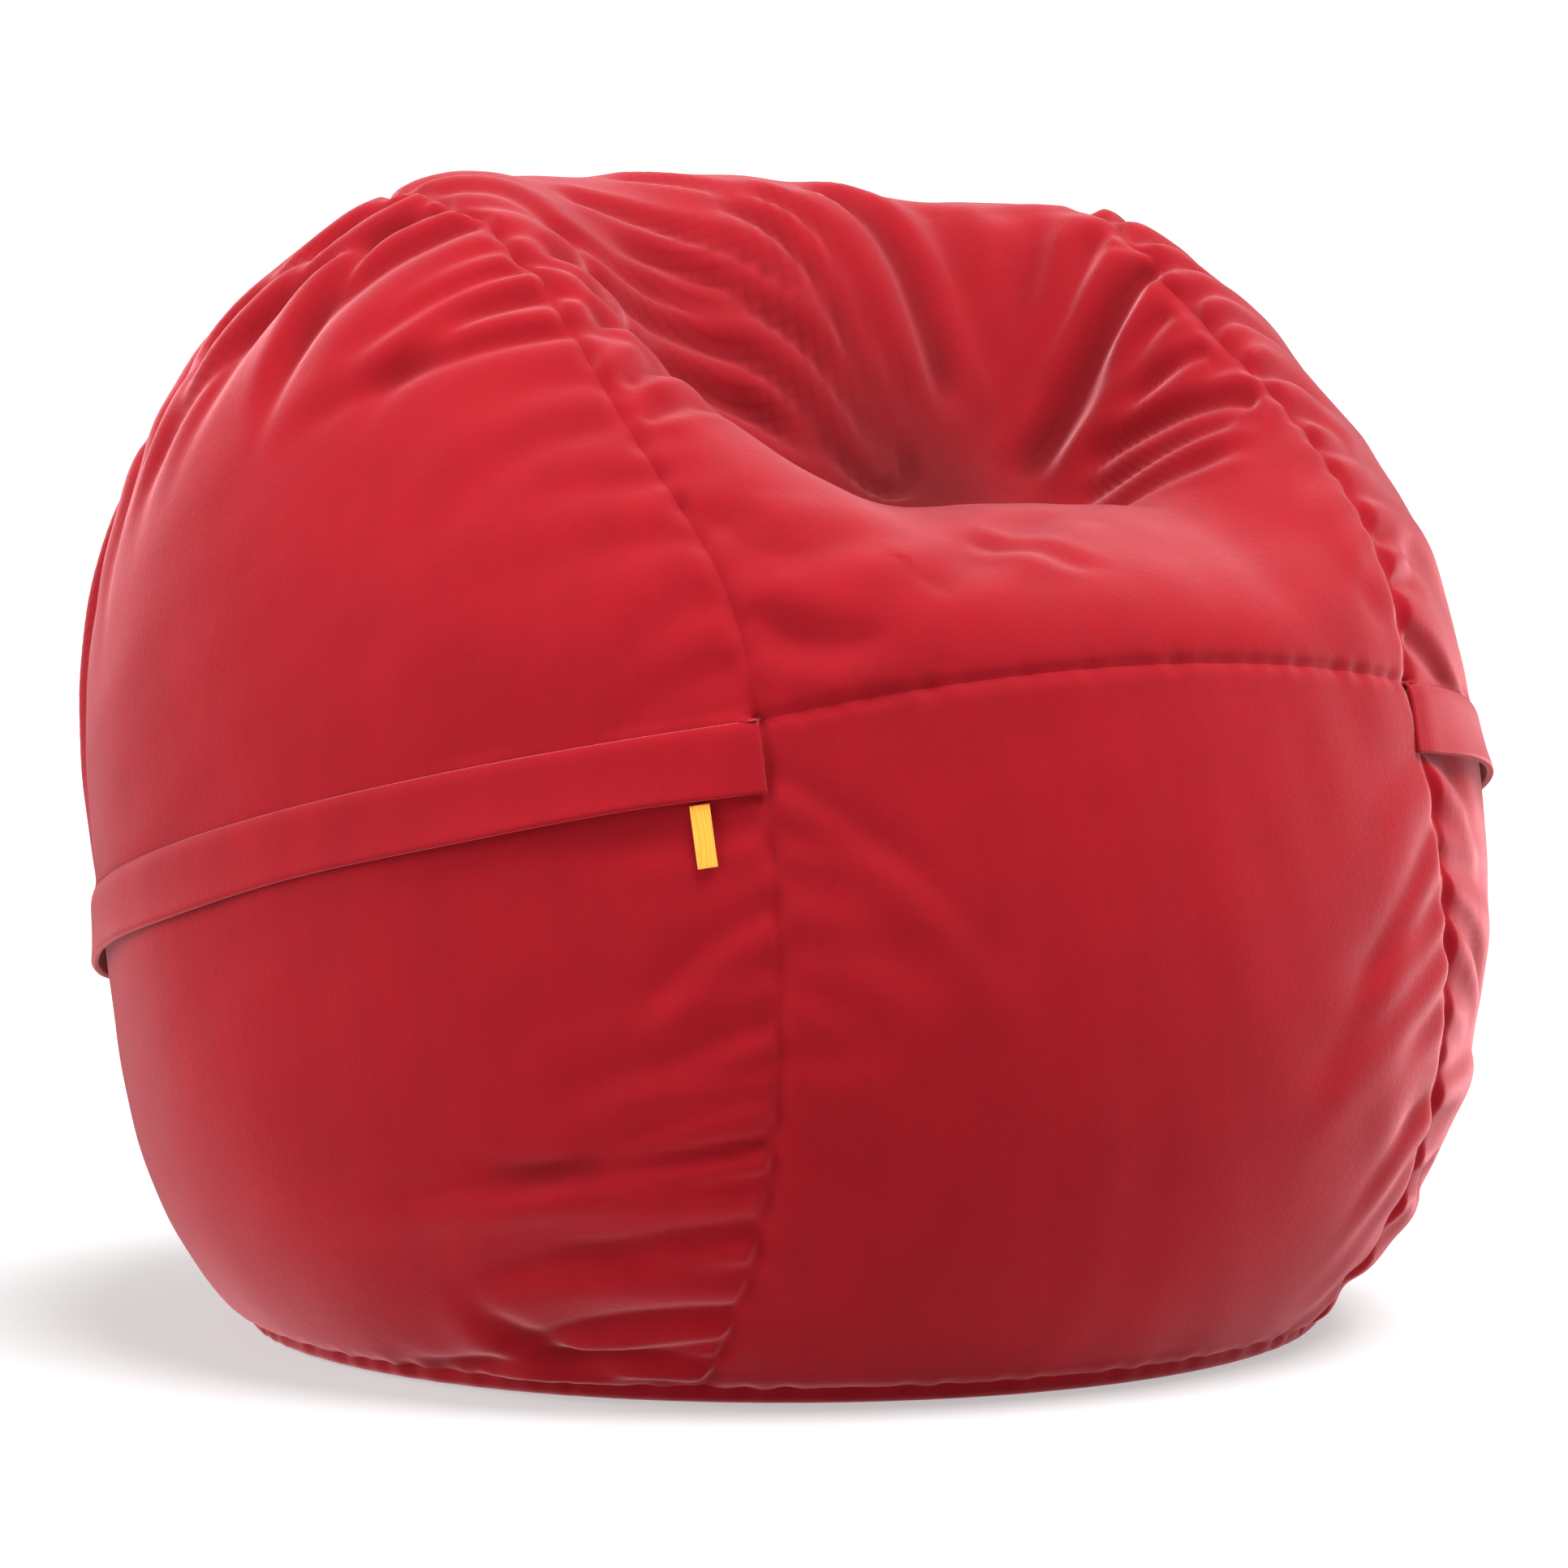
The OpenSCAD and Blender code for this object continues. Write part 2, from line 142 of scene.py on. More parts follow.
# %% The side
ZIP_SHARE = 0.06
STRAIGHT = ZIP_DROP + ZIP_EDGE
SEAM_TURN, TURN_WIDTH = math.radians(33), math.radians(26)
LEFT_SWING, RIGHT_SWING_HIGH, RIGHT_SWING_LOW = -8.0, 2.5, 5.0
UPPER_PULL, BASE_OUT, BASE_UP = 0.5, 0.72, 0.7


def side_point(theta, t):
    """A place on the side: theta runs round from the front, t from the flap's seam to the base."""
    near_front = bell(np.abs(theta), SEAM_TURN, TURN_WIDTH)
    swing = np.where(theta < 0, LEFT_SWING * t ** 4,
                     RIGHT_SWING_HIGH * smooth(0, 0.25, t) + RIGHT_SWING_LOW * smooth(0.2, 0.75, t))
    theta = theta + np.radians(swing) * near_front
    sin, cos = np.sin(theta), np.cos(theta)
    zero = 0 * theta
    start = place(BODY_R * sin, -BODY_R * cos, zero - STRAIGHT)
    high = place(BODY_R * sin, -BODY_R * cos, -STRAIGHT * np.minimum(1, t / ZIP_SHARE))
    out = np.stack([sin, -cos, zero], -1)
    tall = start[..., 2:3]
    reach = BASE_R / 7.2 + 0.2 * tall
    p1 = start - plane_up * UPPER_PULL * tall
    p3 = out * BASE_R
    p2 = p3 + (out * BASE_OUT + np.array([0, 0, BASE_UP])) * reach
    u = np.maximum(0, (t - ZIP_SHARE) / (1 - ZIP_SHARE))[..., None]
    curve = start * (1 - u) ** 3 + 3 * p1 * u * (1 - u) ** 2 + 3 * p2 * u * u * (1 - u) + p3 * u ** 3
    return np.where(u > 0, curve, high)


# %% [markdown]
# The net has to follow the seams, because the panels are parted there. The top's rows run from
# left to right. On each row the two seams are found by halving, and the columns are spread
# between them, closer together beside a seam, where the cloth turns in. The same net is built
# twice: fine for the cover, and coarse for the liner and the beads inside it. Below the flap the
# rows beside the zip are left out of the panels, so that the zip lies open under the flap.

# %% Helpers of the net
ARCH = 11 * MM
LEFT_SEAM, RIGHT_SEAM = 0.515, 0.565


def spread(n, tight=0.35):
    """n + 1 shares from 0 to 1, closer together at both ends."""
    t = np.linspace(0, 1, n + 1)
    return t - tight * np.sin(2 * np.pi * t) / (2 * np.pi)


def seam_x(y, side):
    """How far from the middle the seam between the centre and a side lies, in body radii."""
    waves = 0.008 * np.sin(9 * y + 1)
    return (LEFT_SEAM if side < 0 else RIGHT_SEAM) + waves * smooth(1.0, 0.8, np.abs(y))


def disc(p, q):
    """A square's point (p, q) moved to the disc."""
    return p * np.sqrt(1 - q * q / 2), q * np.sqrt(1 - p * p / 2)


def seam_column(q, side):
    low, high = np.zeros_like(q), np.ones_like(q)
    for _ in range(40):
        mid = (low + high) / 2
        x, y, _rise = dome(*disc(mid * side, q))
        beyond = np.abs(x) > seam_x(y, side)
        high, low = np.where(beyond, mid, high), np.where(beyond, low, mid)
    return (low + high) / 2 * side


def front_arch(theta):
    share = np.where(theta < 0, theta / -math.asin(LEFT_SEAM), theta / math.asin(RIGHT_SEAM))
    return np.where(share < 1, ARCH * (1 - share ** 2), 0)


# %% Build the net
UPPER_EDGE, LOWER_EDGE, BASE_ROWS = 3, 5, 2
ZIP_ROWS = np.array([0, 5, 10, 15, 22, 29]) * MM
ARCH_FADE = (1, 0.8, 0.6, 0.45, 0.3, 0.18, 0.08)
BASE_RINGS = np.array([0.94, 0.8, 0.5, 0.2, 0.0])
ARCH_ROWS = 7
ZIP_CLOSED = math.radians(35)


class Net:
    """Vertices, faces, the panel of each face, and the rows of vertices that are seams."""

    def __init__(self, band_cols, side_cols, top_rows, side_rows):
        q = spread(top_rows, 0.0) * 2 - 1
        left, right = seam_column(q, -1)[:, None], seam_column(q, 1)[:, None]
        share, band = spread(side_cols)[None], spread(band_cols)[None, 1:]
        p = np.concatenate([-1 + (left + 1) * share, left + (right - left) * band,
                            right + (1 - right) * share[:, 1:]], 1)
        rows, cols = p.shape
        a, b = disc(p, q[:, None] + 0 * p)
        self.x, self.y, rise = dome(a, b)
        top = on_top(self.x, self.y, rise)
        self.rows, self.cols, self.left, self.right = rows, cols, side_cols, side_cols + band_cols
        rim = ([(0, i) for i in range(cols)] + [(j, cols - 1) for j in range(1, rows)]
               + [(rows - 1, i) for i in range(cols - 2, -1, -1)]
               + [(j, 0) for j in range(rows - 2, 0, -1)])
        theta = np.array([math.atan2(a[j, i], -b[j, i]) for j, i in rim])
        zip_rows = ZIP_ROWS / STRAIGHT * ZIP_SHARE
        t = np.concatenate([zip_rows[:-1], ZIP_SHARE + (1 - ZIP_SHARE) * spread(side_rows, 0.12)])
        self.theta, self.t = np.meshgrid(theta, t, indexing="ij")
        side = side_point(self.theta, self.t)
        under = side[:, -1:] * BASE_RINGS[None, :, None]
        side = np.concatenate([side, under], 1)
        self.base_row = len(t) - 1 - BASE_ROWS
        self.top_id = np.arange(rows * cols).reshape(rows, cols)
        self.side_id = np.zeros(side.shape[:2], int)
        self.side_id[:, 0] = [self.top_id[j, i] for j, i in rim]
        self.side_id[:, 1:] = rows * cols + np.arange(side[:, 1:].size // 3).reshape(len(rim), -1)
        self.co = np.concatenate([top.reshape(-1, 3), side[:, 1:].reshape(-1, 3)])
        for step, fade in enumerate(ARCH_FADE):
            self.co[self.side_id[:, step]] += (front_arch(theta) * fade)[:, None] * plane_up
        for j in range(1, rows // ARCH_ROWS):
            turn = np.arctan2(a[j], -b[j])
            fade = (1 - ARCH_ROWS * j / rows) ** 2
            self.co[self.top_id[j]] += (front_arch(turn) * fade)[:, None] * plane_up
        self.name_faces(rim)
        column_of = {c: k for k, c in enumerate(rim)}
        down = [column_of[c] for c in ((0, self.left), (0, self.right), (rows - 1, self.left),
                                       (rows - 1, self.right))]
        self.seams = {"left": self.top_id[:, self.left], "right": self.top_id[:, self.right],
                      "cross": self.top_id[0, self.left:self.right + 1]}
        self.down = dict(zip(("low_left", "low_right", "rear_left", "rear_right"), down))
        for name, k in self.down.items():
            self.seams[name] = self.side_id[k, :self.base_row + 1]
        self.seams["base"] = np.append(self.side_id[:, self.base_row], self.side_id[0, self.base_row])
        self.zip_columns = np.array([not (j == 0 and self.left < i < self.right) for j, i in rim])
        self.seams["flap"] = self.side_id[self.zip_columns, 0]

    def name_faces(self, rim):
        faces, panels = [], []
        ids, side = self.top_id, self.side_id
        for j in range(self.rows - 1):
            for i in range(self.cols - 1):
                faces.append((ids[j, i], ids[j, i + 1], ids[j + 1, i + 1], ids[j + 1, i]))
                panels.append("left_upper" if i < self.left
                              else "seat" if i < self.right else "right_upper")
        for k in range(len(rim)):
            n = (k + 1) % len(rim)
            mid_j, mid_i = (rim[k][0] + rim[n][0]) / 2, (rim[k][1] + rim[n][1]) / 2
            front = mid_j == 0 and self.left < mid_i < self.right
            where = "left" if mid_i < self.left else "right" if mid_i > self.right else "rear"
            for r in range(side.shape[1] - 1):
                faces.append((side[n, r], side[k, r], side[k, r + 1], side[n, r + 1]))
                upper = "seat" if where == "rear" else where + "_upper"
                sewn = abs(self.theta[k, 0] + self.theta[n, 0]) / 2 < ZIP_CLOSED
                panels.append("base" if r >= self.base_row else "front" if front
                              else upper if r < UPPER_EDGE
                              else "open" if r < LOWER_EDGE and not sewn else where + "_lower")
        self.faces, self.panels = np.array(faces), np.array(panels)


net = Net(band_cols=56, side_cols=34, top_rows=172, side_rows=50)
print("cover net", len(net.co), "vertices,", len(net.faces), "faces")

# %% Mesh helpers


def mesh_object(name, co, polygons):
    mesh = bpy.data.meshes.new(name)
    mesh.from_pydata([tuple(c) for c in co], [], [tuple(int(v) for v in f) for f in polygons])
    obj = bpy.data.objects.new(name, mesh)
    bpy.context.scene.collection.objects.link(obj)
    return obj


def activate(obj):
    bpy.ops.object.select_all(action="DESELECT")
    bpy.context.view_layer.objects.active = obj
    obj.select_set(True)


def apply(obj, kind, **settings):
    activate(obj)
    mod = obj.modifiers.new(kind.lower(), kind)
    for key, value in settings.items():
        setattr(mod, key, value)
    bpy.ops.object.modifier_apply(modifier=mod.name)


def points_of(obj):
    out = np.empty(len(obj.data.vertices) * 3)
    obj.data.vertices.foreach_get("co", out)
    return out.reshape(-1, 3)


def normals_of(co, quads):
    face = np.cross(co[quads[:, 2]] - co[quads[:, 0]], co[quads[:, 3]] - co[quads[:, 1]])
    out = np.zeros_like(co)
    for k in range(4):
        np.add.at(out, quads[:, k], face)
    return out / np.maximum(np.linalg.norm(out, axis=1, keepdims=True), 1e-12)


def finer(values, kind="SIMPLE"):
    """Values at the net's vertices, three to a vertex, carried to the net subdivided once."""
    obj = mesh_object("finer", values, net.faces)
    apply(obj, "SUBSURF", subdivision_type=kind, levels=1, render_levels=1)
    out = points_of(obj)
    bpy.data.objects.remove(obj)
    return out


def wobble(x, wave, seed, count=5):
    """A made-up wave of about the given length that doesn't repeat: a sum of sines."""
    rng = np.random.default_rng(seed)
    out = 0
    for _ in range(count):
        out = out + np.sin(2 * np.pi * x / (wave * rng.uniform(0.7, 1.5)) + rng.uniform(0, 6.28))
    return out / math.sqrt(count)


def lumps(co, wave, seed, count=7):
    """The same in space: waves that run in random directions."""
    rng = np.random.default_rng(seed)
    out = 0
    for _ in range(count):
        way = rng.normal(size=3)
        way = way / np.linalg.norm(way) * 2 * np.pi / (wave * rng.uniform(0.7, 1.5))
        out = out + np.sin(co @ way + rng.uniform(0, 6.28))
    return out / math.sqrt(count)


# %% [markdown]
# On the real chair the cloth is longer than the seam that it is sewn to, so it gathers in small
# pleats that start at the seam and die out. Everything about a pleat is told by two numbers: how
# far a point is from the seam, and how far along the seam it is.

# %% Distance to the seams


def from_seam(line):
    """For every vertex, its distance to a row of vertices and the place along that row."""
    pts = net.co[line]
    steps = np.linalg.norm(np.diff(pts, axis=0), axis=1)
    along = np.concatenate([[0], np.cumsum(steps)])
    nearest = np.empty(len(net.co), int)
    for start in range(0, len(net.co), 4000):
        gap = ((net.co[start:start + 4000, None] - pts[None]) ** 2).sum(2)
        nearest[start:start + 4000] = gap.argmin(1)
    near, where = np.full(len(net.co), 9.0), np.zeros(len(net.co))
    for first in (np.maximum(nearest - 1, 0), np.minimum(nearest, len(pts) - 2)):
        a, way = pts[first], pts[first + 1] - pts[first]
        share = np.clip(((net.co - a) * way).sum(1) / (way ** 2).sum(1), 0, 1)
        gap = np.linalg.norm(net.co - a - way * share[:, None], axis=1)
        where = np.where(gap < near, along[first] + share * steps[first], where)
        near = np.minimum(gap, near)
    return near, where


def along_rows(seam):
    """The same, but measured along the net's own rows, so that pleats run square to the seam."""
    near, where = np.full(len(net.co), 9.0), np.zeros(len(net.co))
    if seam in net.down:
        k, ids = net.down[seam], net.side_id[:, :net.base_row + 1]
        grid = net.co[ids]
        steps = np.linalg.norm(np.roll(grid, -1, 0) - grid, axis=2)
        arc = np.cumsum(steps, 0) - steps
        gap = np.abs(arc - arc[k])
        near[ids] = np.minimum(gap, steps.sum(0) - gap)
        line = grid[k]
    else:
        column, ids = {"left": net.left, "right": net.right}[seam], net.top_id
        grid = net.co[ids]
        steps = np.linalg.norm(np.diff(grid, axis=1), axis=2)
        arc = np.concatenate([np.zeros((net.rows, 1)), np.cumsum(steps, 1)], 1)
        near[ids] = np.abs(arc - arc[:, [column]])
        line = grid[:, column]
    along = np.concatenate([[0], np.cumsum(np.linalg.norm(np.diff(line, axis=0), axis=1))])
    where[ids] = along[None, :] if seam in net.down else along[:, None]
    return near, where


reach = {name: from_seam(line) for name, line in net.seams.items()}
names = sorted(set(net.panels))
vertex_panels = {}
for name in names:
    mask = np.zeros(len(net.co))
    mask[np.unique(net.faces[net.panels == name])] = 1
    vertex_panels[name] = mask
fine_rest = finer(net.co, "CATMULL_CLARK")
fine_reach = {name: finer(np.stack([near, where, 0 * near], 1))[:, :2].T
              for name, (near, where) in reach.items()}
fine_rows = {name: finer(np.stack([*along_rows(name), 0 * net.co[:, 0]], 1))[:, :2].T
             for name in ["left", "right", *net.down]}
print("finer net", len(fine_rest), "vertices; left seam", round(float(reach["left"][1].max()), 2),
      "m long")

# %% [markdown]
# A pleat has a narrow valley and a rounded ridge beside it. It is widest where it dies out. Every
# seam gets its pleats from one call: how they are spaced, how far they reach and how deep they
# are. They are seeded, so each run gives the same chair.

# %% Pleats along a seam
push = np.zeros(len(fine_rest))


def on_panels(panels):
    mask = np.maximum.reduce([vertex_panels[p] for p in panels])
    return smooth(0.45, 0.75, finer(np.stack([mask, mask, mask], 1))[:, 0])


def gathers(seam, panels, spans, seed):
    """spans: (from, to, spacing, reach, depth, sweep), all along the seam and in millimetres."""
    rng = np.random.default_rng(seed)
    near, where = fine_rows[seam]
    mine = on_panels(panels)
    made = 0
    for begin, end, spacing, far, depth, sweep in spans:
        s = begin + spacing * rng.uniform(0.2, 0.8)
        while s < end:
            length = far * rng.uniform(0.45, 1.25) * MM
            width = spacing * rng.uniform(0.34, 0.46) * MM
            lean = sweep + rng.uniform(-0.25, 0.25)
            bow = rng.uniform(-0.5, 0.5)
            tall = depth * rng.uniform(0.45, 1.2) * MM
            close = near < length
            d = near[close]
            u = (where[close] - s * MM - lean * d - bow * d * d / length)
            u = u / (width * (1 + 1.1 * d / length))
            shape = np.exp(-((u - 1.0) / 0.95) ** 2) - 1.1 * np.exp(-((u + 0.2) / 0.62) ** 2)
            fade = smooth(0, 9 * MM, d) * (1 - smooth(0.4 * length, length, d))
            push[close] += tall * shape * fade * mine[close]
            s += spacing * rng.uniform(0.7, 1.35)
            made += 1
    print(seam, "seam:", made, "pleats on", panels)


gathers("left", ["left_upper"], [(30, 340, 48, 190, 1.6, 0.15), (330, 500, 32, 220, 5.0, 0.05),
                                 (500, 940, 30, 330, 7.4, 0.0), (940, 1500, 38, 150, 3.2, 0)], 3)
gathers("left", ["seat"], [(20, 280, 44, 70, 1.2, 0), (330, 760, 40, 170, 3.4, -0.3),
                           (760, 1500, 36, 140, 2.8, 0)], 4)
gathers("right", ["right_upper"], [(10, 1500, 38, 150, 4.8, 0)], 5)
gathers("right", ["seat"], [(20, 240, 44, 80, 1.2, 0), (300, 760, 42, 80, 2.0, 0.2),
                            (760, 1500, 38, 130, 2.6, 0)], 6)
gathers("low_left", ["left_lower"], [(50, 180, 34, 150, 1.8, 0.25), (180, 260, 31, 210, 3.4, 0.2),
                                     (260, 560, 29, 300, 5.6, 0.1)], 7)
gathers("low_left", ["front"], [(20, 240, 38, 150, 2.4, 0.5), (240, 600, 44, 60, 0.8, 0.2)], 8)
gathers("low_right", ["right_lower"], [(20, 600, 38, 150, 3.8, 0.1)], 9)
gathers("low_right", ["front"], [(20, 280, 40, 170, 2.8, 0.5), (280, 600, 44, 110, 1.8, 0.2)], 10)
gathers("rear_left", ["left_lower", "rear_lower"], [(20, 500, 38, 150, 2.8, 0)], 11)
gathers("rear_right", ["right_lower", "rear_lower"], [(20, 500, 38, 150, 2.8, 0)], 12)

# %% [markdown]
# The seat hollow is cloth pushed down by the sitter, so long folds run into its deepest place
# from the shoulders and the back. Each is drawn as a valley along a smooth line over the top,
# with a ridge on both sides. The lines are given in body radii. Where many pleats and folds meet,
# a soft limit keeps their sum from cutting too deep.

# %% Folds of the seat
FOLD_DEPTH, FOLD_WIDTH = 1.1, 1.25


def fold(route, depth, width, head=0.12, tail=0.3):
    """A valley along a route; head and tail are the shares over which it fades in and out."""
    route = np.array(route, float)
    knots = np.linspace(0, 1, len(route))
    t = np.linspace(0, 1, 160)
    x, y = (np.polyval(np.polyfit(knots, route[:, k], len(route) - 1), t) for k in (0, 1))
    rise = np.maximum(0, 1 - np.hypot(x, y) ** DOME) ** (1 / DOME)
    line = on_top(x, y, rise)
    wide = FOLD_WIDTH * width * MM
    low, high = line.min(0) - 4 * wide, line.max(0) + 4 * wide
    close = np.where(((fine_rest > low) & (fine_rest < high)).all(1))[0]
    gap = np.linalg.norm(fine_rest[close][:, None] - line[None], axis=2)
    k = gap.argmin(1)
    u = gap[np.arange(len(k)), k] / wide
    strength = smooth(0, head, t[k]) * (1 - smooth(1 - tail, 1, t[k])) * (k > 0) * (k < len(t) - 1)
    shape = 0.6 * np.exp(-((u - 1.6) / 0.85) ** 2) - np.exp(-np.abs(u) ** 1.4)
    push[close] += FOLD_DEPTH * depth * MM * shape * strength


# The left shoulder's folds fall into the pocket.
fold([(-0.47, -0.36), (-0.24, -0.19), (-0.09, -0.17), (0.03, -0.26)], 9, 10)
fold([(-0.50, -0.25), (-0.31, -0.16), (-0.12, -0.11), (0.00, -0.18), (0.05, -0.25)], 7, 9)
fold([(-0.27, -0.04), (-0.09, -0.03), (0.03, -0.10), (0.07, -0.17), (0.10, -0.24)], 7, 8)
fold([(-0.04, 0.11), (0.07, 0.03), (0.105, -0.07), (0.107, -0.15), (0.117, -0.24)], 8, 9)
fold([(0.02, 0.15), (0.12, 0.07), (0.145, -0.03), (0.155, -0.13), (0.148, -0.21)], 6, 8)
fold([(0.16, 0.20), (0.24, 0.09), (0.25, -0.04), (0.245, -0.13), (0.24, -0.19)], 8, 11)
fold([(-0.40, -0.10), (-0.22, -0.08), (-0.06, -0.07), (0.03, -0.14)], 5, 7)
fold([(-0.30, 0.06), (-0.14, 0.05), (0.00, -0.01), (0.06, -0.08)], 5, 8)
fold([(-0.15, 0.22), (-0.02, 0.16), (0.06, 0.08), (0.10, 0.00)], 4, 8)
fold([(-0.50, -0.44), (-0.33, -0.31), (-0.15, -0.25), (-0.02, -0.27)], 6, 9)
fold([(-0.50, -0.54), (-0.40, -0.47), (-0.25, -0.38), (-0.08, -0.33)], 5, 9)
fold([(-0.505, -0.60), (-0.42, -0.57), (-0.33, -0.52)], 3, 8)
# A hooked pleat ends beside the pocket.
fold([(0.02, -0.20), (0.06, -0.265), (0.11, -0.25), (0.13, -0.20)], 6, 6, 0.2, 0.2)
# The back has broad soft folds, and a deep crease runs up behind the right bolster.
fold([(0.50, 0.03), (0.43, -0.06), (0.367, -0.12), (0.302, -0.18), (0.25, -0.24)], 4, 13)
fold([(0.54, -0.07), (0.47, -0.13), (0.395, -0.17), (0.32, -0.20)], 4, 10)
fold([(0.36, 0.16), (0.34, 0.03), (0.31, -0.08), (0.28, -0.16)], 3, 13)
fold([(0.565, -0.19), (0.48, -0.212), (0.426, -0.22), (0.36, -0.228), (0.28, -0.245)], 15, 11, 0.05)
# The right bolster's folds fan out from the pocket.
fold([(0.545, -0.29), (0.49, -0.275), (0.438, -0.26), (0.37, -0.26)], 4, 8)
fold([(0.545, -0.53), (0.47, -0.43), (0.42, -0.34), (0.35, -0.285)], 7, 10, 0.05)
fold([(0.53, -0.56), (0.45, -0.475), (0.39, -0.37), (0.33, -0.31)], 6, 9, 0.2)
fold([(0.50, -0.60), (0.42, -0.54), (0.37, -0.46), (0.29, -0.36)], 4, 9, 0.3)
fold([(0.545, -0.40), (0.49, -0.35), (0.43, -0.30)], 4, 7)
# The front roll is nearly smooth, with a few shallow dents.
fold([(-0.49, -0.74), (-0.45, -0.82), (-0.36, -0.84), (-0.22, -0.78)], 2.2, 16)
fold([(-0.26, -0.92), (-0.15, -0.87), (0.00, -0.76), (0.09, -0.69)], 2.2, 14)
fold([(-0.12, -0.80), (-0.03, -0.86), (0.02, -0.93)], 2.0, 10)
fold([(-0.50, -0.84), (-0.42, -0.90), (-0.30, -0.94)], 2.0, 12)
DEEPEST, HIGHEST = 13 * MM, 8 * MM
push = np.where(push < 0, DEEPEST * np.tanh(push / DEEPEST), HIGHEST * np.tanh(push / HIGHEST))
print("folds reach", round(float(-push.min()) / MM, 1), "mm down and",
      round(float(push.max()) / MM, 1), "mm up")

# %% [markdown]
# The cloth is held where it is sewn to the zip and where it meets the floor, and only loosely
# elsewhere, so that it keeps the chair's shape but can swell and crease. Gravity is off: air
# pressure stands for the beads. Beside the seams the cloth grows, which makes it gather.

# %% Let the cloth gather
hold = np.full(len(net.co), 0.06)
slack = np.zeros(len(net.co))
for name, loose, wide in (("left", 1.0, 0.10), ("right", 1.0, 0.09), ("low_left", 0.8, 0.09),
                          ("low_right", 0.8, 0.08), ("rear_left", 0.6, 0.06),
                          ("rear_right", 0.6, 0.06)):
    hold[net.seams[name]] = 0.6
    slack = np.maximum(slack, loose * np.exp(-reach[name][0] / wide))
hold[net.seams["cross"]] = 0.6
hold[net.side_id[net.zip_columns][:, :LOWER_EDGE + 1].ravel()] = 1.0
hold[net.side_id[:, net.base_row:].ravel()] = 1.0
in_seat = np.zeros(len(net.co))
in_seat[net.top_id.ravel()] = hollow(net.x, net.y).ravel()
slack = np.maximum(slack, in_seat * 0.7)
FRAMES, CAP, SMOOTHINGS = 20, 22 * MM, 4
CLOTH = {"quality": 5, "mass": 0.35, "tension_stiffness": 25, "compression_stiffness": 25,
         "shear_stiffness": 8, "bending_stiffness": 2.5, "tension_damping": 8,
         "compression_damping": 8, "shear_damping": 8, "bending_damping": 0.6, "air_damping": 2,
         "use_pressure": True, "uniform_pressure_force": 2.0, "vertex_group_mass": "hold",
         "pin_stiffness": 5, "vertex_group_shrink": "slack", "shrink_min": -0.01,
         "shrink_max": -0.06}


def gather(co):
    cloth = mesh_object("cover_cloth", co, net.faces)
    for name, values in (("hold", hold), ("slack", np.minimum(1, slack))):
        group = cloth.vertex_groups.new(name=name)
        levels = np.round(values, 2)
        for level in np.unique(levels):
            group.add([int(v) for v in np.where(levels == level)[0]], float(level), "REPLACE")
    activate(cloth)
    mod = cloth.modifiers.new("gather", "CLOTH")
    for key, value in CLOTH.items():
        setattr(mod.settings, key, value)
    mod.settings.effector_weights.gravity = 0
    mod.collision_settings.use_collision = False
    mod.collision_settings.use_self_collision = False
    mod.point_cache.frame_start, mod.point_cache.frame_end = 1, FRAMES
    for f in range(1, FRAMES + 1):
        bpy.context.scene.frame_set(f)
    bpy.ops.object.modifier_apply(modifier=mod.name)
    out = points_of(cloth)
    bpy.data.objects.remove(cloth)
    bpy.context.scene.frame_set(1)
    return out


# %% [markdown]
# The simulated move is smoothed over each vertex's neighbours, which leaves the soft swelling and
# takes away ripples of the size of one face. It is then carried to the finer net. The depth of
# the creases and of the seat's pocket is kept as the mesh's own attribute, which the finish reads
# to paint shade there.

# %% Run it, and carry it to the finer net
rest_normal = normals_of(net.co, net.faces)
start_push = np.clip(push[:len(net.co)], -3 * MM, 2 * MM) * (hold < 0.5)
start_co = net.co + rest_normal * start_push[:, None]
cloth_co = gather(start_co)
move = cloth_co - net.co
far = np.linalg.norm(move, axis=1, keepdims=True)
move = move * np.minimum(1, CAP / np.maximum(far, 1e-9))
edges = np.concatenate([net.faces[:, [k, (k + 1) % 4]] for k in range(4)])
pairs = np.unique(np.sort(edges, 1), axis=0)
neighbours = np.bincount(pairs.ravel(), minlength=len(net.co))[:, None]
for _ in range(SMOOTHINGS):
    total = np.zeros_like(move)
    np.add.at(total, pairs[:, 0], move[pairs[:, 1]])
    np.add.at(total, pairs[:, 1], move[pairs[:, 0]])
    move = 0.5 * move + 0.5 * total / neighbours
print("cloth moved up to", round(float(far.max()) / MM), "mm, on average",
      round(float(far.mean()) / MM, 1))

fine_move = finer(move, "SIMPLE")
carrier = mesh_object("whole_cover", net.co, net.faces)
tag = carrier.data.attributes.new("panel", "INT", "FACE")
tag.data.foreach_set("value", [names.index(p) for p in net.panels])
apply(carrier, "SUBSURF", levels=1, render_levels=1)
# Painted shade: a mask over the seat's pocket plus the depth of the fold valleys, for darkening the
# red where shade falls.
pocket_shade_mask = np.zeros(len(net.co))
pocket_shade_mask[net.top_id.ravel()] = (bell(net.x, 0.12, 0.21) * bell(net.y, -0.27, 0.16)).ravel()
depth = finer(np.stack([pocket_shade_mask] * 3, 1))[:, 0] + 0.55 * smooth(0, 9 * MM, -push)
painted_crease_shade = carrier.data.attributes.new("painted_crease_shade", "FLOAT", "POINT")
painted_crease_shade.data.foreach_set("value", np.minimum(1, depth))
quads = np.empty(len(carrier.data.polygons) * 4, int)
carrier.data.polygons.foreach_get("vertices", quads)
fine_normal = normals_of(fine_rest, quads.reshape(-1, 4))

# %% [markdown]
# The cloth next to the zip and the base lies still, so the pleats fade out there. The seams are
# drawn in last: the stitches pull both panels down into a narrow groove, and the side seams weave
# a little from side to side where they are gathered.

